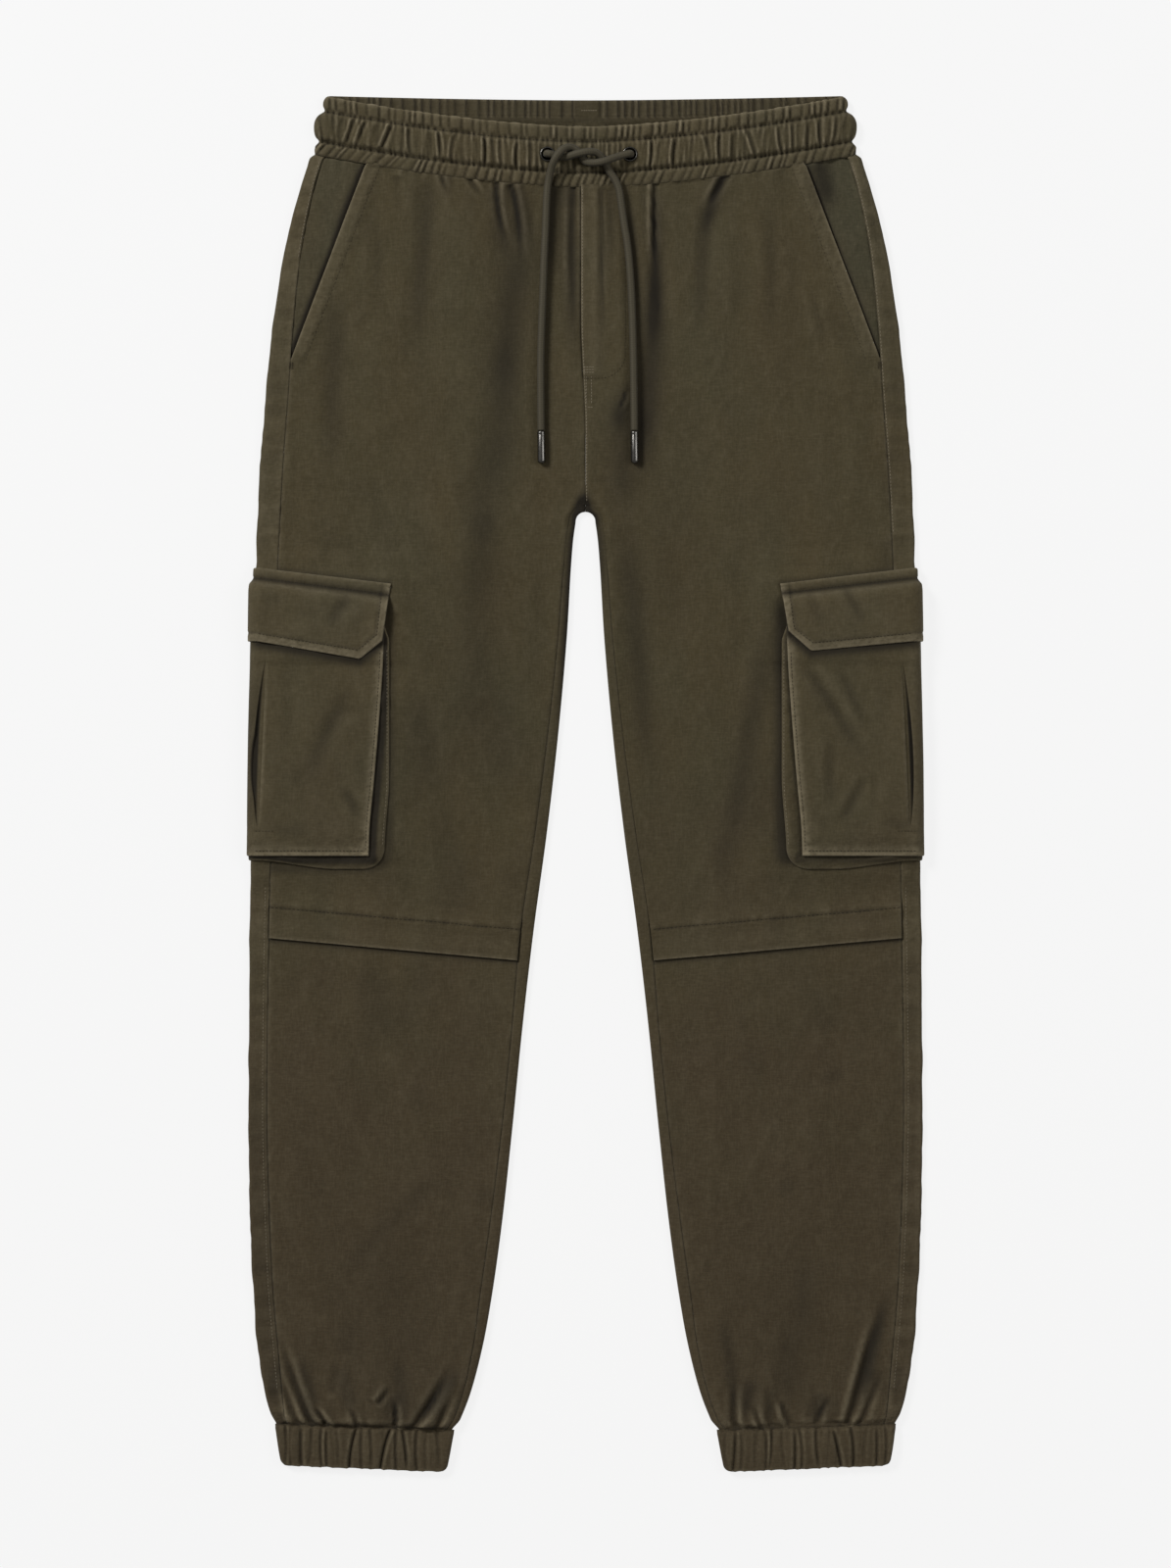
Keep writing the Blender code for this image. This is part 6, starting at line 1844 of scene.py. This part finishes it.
def cuff(leg, side, material):
    """A flattened ring of doubled cloth, gathered on elastic."""
    down = stations((0, 0.012), (0.04, 0.03), (0.9, 0.03), (1, 0.012))
    share, inside = doubled(down, 3)
    line_up = CUFF_LINES[0].up * (1 - share)
    ups = [line.up for line in CUFF_LINES[::-1]]
    outer = np.interp(line_up, ups, [line.outer for line in CUFF_LINES[::-1]])
    inner = np.interp(line_up, ups, [line.inner for line in CUFF_LINES[::-1]])
    near_foot = np.clip(1 - line_up / CUFF_ROUNDING, 0, 1)
    rounding = 0.8 * CUFF_ROUNDING * (1 - np.sqrt(1 - near_foot**2))
    outer, inner = outer - rounding, inner + rounding
    radius = CUFF_THICKNESS / 2
    across = stations((0, 0.006), (1, 0.006))
    axis_x, level, sideways, _ = flat_ring(inner, outer, radius, across, across[::2])
    x_mid = axis_x + radius * sideways
    plain = cuff_relief(x_mid, share, side) * np.clip(level, 0, 1)
    relief = np.where(inside > 0, -BAND_WALL, np.where(level < 0, 0.0, plain))
    z = radius + radius * level + relief * level
    x = axis_x + (radius + relief) * sideways
    across_share = (x - inner) / (outer - inner)
    up = line_up + CUFF_DROP * (across_share - line_up / CUFF_SEAM)
    uneven = np.where(level > 0, ribbed(CUFF_RIBS[side], x_mid) - 0.5, 0)
    up = up + uneven * (0.7 * hump(share - 1, 0.12) - 0.6 * hump(share, 0.12)) * (1 - inside)
    points = place(x, np.maximum(up, 0), z)
    # Painted light and shade: crests and the foot edge lighter with abrasion and painted highlight; painted
    # shade between the ribs and under the top seam.
    crests_worn_and_lit, deep = crests_and_valleys(cuff_relief, x_mid, share, side, reach=1.7, gain=0.30)
    wear_and_light = (crests_worn_and_lit + 0.03 + 0.35 * np.exp(-(1 - share) / 0.04)) * (1 - inside)
    shade = (0.3 * hump(share, 0.04) + deep) * (1 - inside)
    bm = bmesh.new()
    ring(bm, points, {"wear_and_light": wear_and_light, "shade": shade, "pucker": 0.3})
    return finish_mesh(f"cloth_cuff_{leg}", bm, material, side)


# ---------------------------------------------------------------- trim


def turned(name, profile, centre, direction, material):
    """A smooth solid of revolution: profile is a run of (radius, distance along) round the axis."""
    bm = bmesh.new()
    verts = [bm.verts.new((radius * MM, 0, along * MM)) for radius, along in profile]
    edges = [bm.edges.new(pair) for pair in zip(verts, verts[1:])]
    if profile[0][0] > 0:
        edges.append(bm.edges.new((verts[-1], verts[0])))
    bmesh.ops.spin(
        bm, geom=verts + edges, cent=(0, 0, 0), axis=(0, 0, 1), angle=2 * pi, steps=40, use_merge=True
    )
    bmesh.ops.remove_doubles(bm, verts=bm.verts, dist=0.005 * MM)
    bmesh.ops.recalc_face_normals(bm, faces=bm.faces)
    turn = direction.to_track_quat("Z", "Y").to_matrix().to_4x4()
    bmesh.ops.transform(bm, matrix=Matrix.Translation(centre) @ turn, verts=bm.verts)
    return finish_mesh(name, bm, material, weld=False)


def eyelet(leg, side, material):
    """A flat ring with a rounded top."""
    middle = (EYELET_INNER + EYELET_OUTER) / 2
    half = (EYELET_OUTER - EYELET_INNER) / 2
    profile = [
        (middle + half * cos(angle), 0.1 + 1.0 * max(sin(angle), -0.35))
        for angle in np.linspace(0, 2 * pi, 17)[:-1]
    ]
    centre = Vector((side * EYELET_X[leg], EYELET_UP - LENGTH / 2, EYELET_Z)) * MM
    return turned(f"metal_eyelet_{leg}", profile, centre, Vector((0, 0, 1)), material)


def run_along(line):
    """How far each point of a line lies along it."""
    return np.concatenate([[0], np.cumsum(np.linalg.norm(np.diff(line, axis=0), axis=1))])


def through(route, step):
    """Evenly spaced points on a smooth curve through the route, in metres."""
    points = [Vector(row) for row in route]
    ends = [2 * points[0] - points[1]] + points + [2 * points[-1] - points[-2]]
    fine = []
    for a, b, c, d in zip(ends, ends[1:], ends[2:], ends[3:]):
        for k in range(16):
            t = k / 16
            square, cube = 2 * a - 5 * b + 4 * c - d, 3 * b - a - 3 * c + d
            fine.append(0.5 * (2 * b + (c - a) * t + square * t**2 + cube * t**3))
    fine.append(points[-1])
    line = np.array(fine)
    along = run_along(line)
    at = np.linspace(0, along[-1], ceil(along[-1] / step) + 1)
    return np.stack([np.interp(at, along, line[:, k]) for k in range(3)], axis=1) * MM


def cord(leg, route, material):
    """A round tube along the route, with its distance along and round it for the braid."""
    start = route[0]
    inside = (start[0] - 0.25 * (route[1][0] - start[0]), start[1] + 0.3, start[2] - 5.0)
    line = through((inside,) + route, 1.3)
    sides = 18
    tangents = np.gradient(line, axis=0)
    tangents /= np.linalg.norm(tangents, axis=1)[:, None]
    side = np.cross(tangents, (0, 0, 1.0))
    side[0] = side[1]
    side /= np.linalg.norm(side, axis=1)[:, None]
    rise = np.cross(side, tangents)
    turn = np.linspace(-pi / 2, 1.5 * pi, sides + 1)
    radius = CORD_DIAMETER / 2 * MM
    around = side[:, None, :] * np.cos(turn)[None, :, None] + rise[:, None, :] * np.sin(turn)[None, :, None]
    points = (line[:, None, :] + radius * around) / MM
    along = run_along(line) / MM
    bm = bmesh.new()
    grid(bm, points[:, ::-1], {"along": along[:, None], "turn": turn[::-1][None, :]})
    bmesh.ops.remove_doubles(bm, verts=bm.verts, dist=WELD)
    bmesh.ops.holes_fill(bm, edges=bm.edges)
    bmesh.ops.recalc_face_normals(bm, faces=bm.faces)
    return finish_mesh(f"cord_from_{leg}_eyelet", bm, material), line


def aglet(leg, line, material):
    """A polished metal tip with a rounded end."""
    direction = Vector(line[-1] - line[-3]).normalized()
    radius = AGLET_DIAMETER / 2
    profile = [(0, 0), (radius - 0.7, 0), (radius - 0.15, 0.35), (radius, 0.9), (radius, 2.0)]
    profile += [(radius - 0.12, 2.4), (radius - 0.12, 2.9), (radius, 3.3), (radius, AGLET_LENGTH - 2.2)]
    for angle in (0.4, 0.8, 1.2, pi / 2):
        profile.append((radius - 1.6 * (1 - cos(angle)), AGLET_LENGTH - 2.2 + 2.2 * sin(angle)))
    profile.append((0, AGLET_LENGTH))
    start = Vector(line[-1]) + direction * 0.0003
    return turned(f"metal_aglet_{leg}_cord", profile, start, direction, material)


# ---------------------------------------------------------------- stitches

# A row of stitches runs through points (x, up), each leg's own at signed x.
Row = namedtuple("Row", "points pitch length width")


def walk(points, pitch):
    """Places and directions at this spacing along a line of straight steps."""
    line = np.array(points, float)
    along = run_along(line)
    at = np.arange(pitch / 2, along[-1], pitch)
    where, ahead, behind = (
        np.stack([np.interp(at + shift, along, line[:, k]) for k in (0, 1)], axis=1)
        for shift in (0, 0.2, -0.2)
    )
    return where, ahead - behind


def sewn(name, rows, tree, material):
    """Small round stitches that lie on the cloth along each row."""
    pattern = bmesh.new()
    bmesh.ops.create_uvsphere(pattern, u_segments=6, v_segments=4, radius=0.5)
    corners = np.array([vert.co for vert in pattern.verts])
    faces = [[vert.index for vert in face.verts] for face in pattern.faces]
    pattern.free()
    vertices, polygons = [], []
    for row in rows:
        for (x, up), (dx, dup) in zip(*walk(row.points, row.pitch)):
            start = Vector((x, up - LENGTH / 2, 60)) * MM
            spot, normal, _, _ = tree.ray_cast(start, Vector((0, 0, -1)))
            if spot is None or normal.z < 0.3:
                continue
            forward = Vector((dx, dup, 0)).normalized()
            forward = (forward - normal * forward.dot(normal)).normalized()
            sideways = normal.cross(forward)
            axes = np.array([sideways * row.width, normal * row.width * 0.8, forward * row.length]) * MM
            polygons += [[len(vertices) + k for k in face] for face in faces]
            vertices += (corners @ axes + np.array(spot + normal * 0.05 * MM)).tolist()
    mesh = bpy.data.meshes.new(name)
    mesh.from_pydata(vertices, [], polygons)
    mesh.shade_smooth()
    mesh.materials.append(material)
    obj = bpy.data.objects.new(name, mesh)
    bpy.context.scene.collection.objects.link(obj)
    return obj


def offset_opening(inward, side):
    """The slash pocket's edge, moved this far onto the front."""
    (x_top, up_top), (x_foot, up_foot) = OPENING_TOP, OPENING_FOOT
    shift = 1.07 * inward  # along x, across the slant of the edge
    return [(side * (x_top - shift), up_top - 1.5), (side * (x_foot - shift), up_foot)]


def knee_line(side, row):
    """A row of stitches across the knee, waved a little."""
    xs = np.linspace(50, 234, 60)
    strays = 0.6 * unevenness(side * xs, 0 * xs + row, 17, 50, 71)
    return [(side * x, row + stray - KNEE_TILT * (KNEE_X - x)) for x, stray in zip(xs, strays)]


def band_line(share, half):
    """A row of stitches along the waistband."""
    line_up = BAND_TOP - BAND_HEIGHT * share
    return [(x, line_up - waist_dip(x, FRONT_DIP)) for x in np.linspace(-half, half, 80)]


def flap_lines(side):
    """The two rows on a flap: under its top seam, and round inside its lower edges."""
    def spot(inward_from_end, from_top):
        share = from_top / (FLAP_TOP - FLAP_FOOT)
        x = FLAP_END_TOP + (FLAP_END_FOOT - FLAP_END_TOP) * share + inward_from_end
        tilt = FLAP_TILT + FOOT_TILT[side] * share
        return side * x, FLAP_TOP - from_top - tilt * (outer_edge(FLAP_MIDDLE) - x)

    foot = FLAP_TOP - FLAP_FOOT
    top = [spot(inward, FLAP_ROW_TOP) for inward in (1.5, 40, 97)]
    down_end = [spot(FLAP_ROW_EDGE, from_top) for from_top in (10, foot - 19)]
    return [top, down_end + [spot(inward, foot - FLAP_ROW_EDGE) for inward in (19, 60, 92)]]


def bar_tack(x, length, ups, *stitch):
    """Short rows close above each other, which hold a seam's end."""
    return [Row([(x, up), (x + length, up)], *stitch) for up in ups]


def dark_rows():
    """Rows of tone-on-tone thread."""
    found = [Row(band_line(share, 192), 2.6, 1.3, 0.42) for share in ROW_SHARES]
    for side in LEGS.values():
        found.append(Row(knee_line(side, KNEE_STITCH), 3.2, 2.3, 0.62))
        found.append(Row(offset_opening(OPENING_ROW, side), 3.0, 1.7, 0.34))
        found += [Row(line, 2.7, 1.9, 0.55) for line in flap_lines(side)]
        foot_of_pouch = [(side * x, 462.8) for x in (246, 200, 165)]
        front_of_pouch = [(side * (float(pouch_front(up)) + 2.4), up) for up in np.linspace(463, 612, 30)]
        found += [Row(line, 2.6, 1.8, 0.5) for line in (foot_of_pouch, front_of_pouch)]
        foot_of_pleat = [(side * 246, 477.5), (side * 232, 477.5)]
        found.append(Row(foot_of_pleat, 2.4, 1.7, 0.5))
        found += bar_tack(side * 217.6, side * 3.6, 826.5 - 0.75 * np.arange(7), 1.8, 1.7, 0.5)
    (centre_x, centre_up), (wide, tall) = FLY_CORNER, FLY_ROUNDING
    arc = [(centre_x + wide * sin(a), centre_up - tall * cos(a)) for a in np.linspace(0, pi / 2, 16)]
    found.append(Row([(0.5, centre_up - tall)] + arc + [(centre_x + wide, 952)], 2.6, 1.7, 0.34))
    return found


def light_rows():
    """Rows of thread that wear has lightened."""
    centre = [(float(centre_seam(1, up)) + 0.9, up) for up in np.linspace(723, 956, 60)]
    found = [Row(centre, 2.4, 1.9, 0.62)]
    found += bar_tack(-3.3, 11.7, (1014.7,), 1.7, 1.7, 0.6)  # inside the back of the waistband
    for side, foot in ((1, 700), (-1, 905)):
        seam = [(side * (float(side_seam(up)) + 1.2), up) for up in np.linspace(foot, 976, 40)]
        found.append(Row(seam, 2.6, 1.9, 0.55))
        below = [(side * (float(side_seam(up)) + 3.4), up) for up in np.linspace(62, 436, 60)]
        found.append(Row(below, 2.6, 1.8, 0.42))
        gusset = [(side * (BELLOWS_FRONT + 1.6 + drawn_in(up)), up) for up in np.linspace(467, 612, 20)]
        found.append(Row(gusset, 2.8, 1.9, 0.42))
    found += bar_tack(-1.6, 8.2, (823.0, 821.0, 819.0), 2.0, 2.0, 0.55)  # at the foot of the fly
    for x in (0.6, 4.4):
        found.append(Row([(x, 816.5), (x, 795)], 2.3, 1.8, 0.5))
    found += bar_tack(1.6, 3.8, (793.2,), 1.9, 1.9, 0.5)
    return found


# ---------------------------------------------------------------- surface, light and camera


Lamp = namedtuple("Lamp", "name place size power")
LAMPS = (
    Lamp("key", (-2.9, 2.5, 3.0), 1.3, 188),
    Lamp("fill", (2.9, 0.6, 2.6), 2.0, 46),
)
FLOOR_SIZE = 30.0
FLOOR_DROP = 0.0004  # keeps the surface just clear of the cloth that lies on it


def stage_all():
    """The pale surface, the soft light and a camera that looks straight down."""
    bm = bmesh.new()
    bmesh.ops.create_grid(bm, x_segments=1, y_segments=1, size=FLOOR_SIZE)
    bmesh.ops.translate(bm, vec=(0, 0, -FLOOR_DROP), verts=bm.verts)
    graph = Graph("pale_surface")
    graph.shade(
        Base_Color=(0.10, 0.10, 0.10, 1), Roughness=1.0, Specular_IOR_Level=0.0,
        Emission_Color=(1, 1, 1, 1), Emission_Strength=0.835,
    )
    floor = finish_mesh("surface", bm, graph.material, weld=False)
    floor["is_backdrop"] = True

    world = bpy.data.worlds.new("studio")
    bpy.context.scene.world = world
    world.use_nodes = True
    sky = world.node_tree.nodes["Background"]
    sky.inputs["Color"].default_value = (1.0, 0.98, 0.95, 1)
    sky.inputs["Strength"].default_value = 0.22

    for lamp in LAMPS:
        light = bpy.data.lights.new(lamp.name, "AREA")
        light.shape = "SQUARE"
        light.size = lamp.size
        light.energy = lamp.power
        obj = bpy.data.objects.new(lamp.name, light)
        obj.location = lamp.place
        obj.rotation_mode = "QUATERNION"
        obj.rotation_quaternion = (-Vector(lamp.place)).to_track_quat("-Z", "Y")
        bpy.context.scene.collection.objects.link(obj)

    view_height, centre_y = 1168.0 * MM, -0.6 * MM
    camera = bpy.data.cameras.new("camera")
    camera.lens = 100
    camera.sensor_width = 36
    obj = bpy.data.objects.new("camera", camera)
    obj.location = (0, centre_y, view_height / 2 / (camera.sensor_width / 2 / camera.lens) + 0.006)
    bpy.context.scene.collection.objects.link(obj)
    bpy.context.scene.camera = obj
    bpy.context.scene.view_settings.view_transform = "Standard"


def build():
    """Makes every piece and the stage, and returns the box of the part's solids."""
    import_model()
    low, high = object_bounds()
    cloth = cloth_material("cloth")
    facing_cloth = cloth_material("facing_cloth", (0.0520, 0.0420, 0.0200), (0.0440, 0.0400, 0.0205))
    metal, braid = metal_material(), cord_material()
    pieces = [settle(waistband(cloth), ["waistband"], (1050, 45))]
    for leg, side in LEGS.items():
        made = (
            (back_leg(leg, side, cloth), "back_leg", "cloth", (300, 955), 0.235),
            (front_thigh(leg, side, cloth), "front_thigh", "cloth", (240, 590), 0.125),
            (front_shin(leg, side, cloth), "front_shin", "cloth", (190, 390), 0.062),
            (pocket_facing(leg, side, facing_cloth), "pocket_facing", "facing_cloth", (78, 170), 0.0068),
            (bellows(leg, side, cloth), "pocket_bellows", "cloth", (545, 20), None),
            (pouch(leg, side, cloth), "pocket_pouch", "cloth", (190, 200), None),
            (flap(leg, side, cloth), "pocket_flap", "cloth", (205, 58), None),
            (cuff(leg, side, cloth), "cuff", "cloth", (310, 36), None),
        )
        for obj, node, slot, flat, area in made:
            held = "gathered" if node == "cuff" else "laid"
            pieces.append(settle(obj, [f"{node}_{leg}"], flat))
        settle(eyelet(leg, side, metal), [f"eyelet_{leg}"])
    tree = cloth_tree(pieces)
    dark_thread = thread_material("thread_dark", (0.024, 0.019, 0.011))
    settle(sewn("stitches_dark", dark_rows(), tree, dark_thread), [])
    worn_thread = thread_material("thread_worn", (0.20, 0.17, 0.12))
    settle(sewn("stitches_worn", light_rows(), tree, worn_thread), [])
    for leg, route in CORDS.items():
        obj, line = cord(leg, route, braid)
        tip = aglet(leg, line, metal)
        settle(obj, [f"drawcord_from_{leg}_eyelet"])
        settle(tip, [f"aglet_{leg}_cord"])
    stage_all()
    return low, high


def cloth_tree(pieces):
    """One tree of all the cloth, as it is shown, to find where stitches lie."""
    points, faces = [], []
    for obj in pieces:
        mesh = obj.data
        start = len(points)
        points += [vert.co.copy() for vert in mesh.vertices]
        faces += [[start + k for k in face.vertices] for face in mesh.polygons]
    return BVHTree.FromPolygons(points, faces)


CAD_BOX = build()
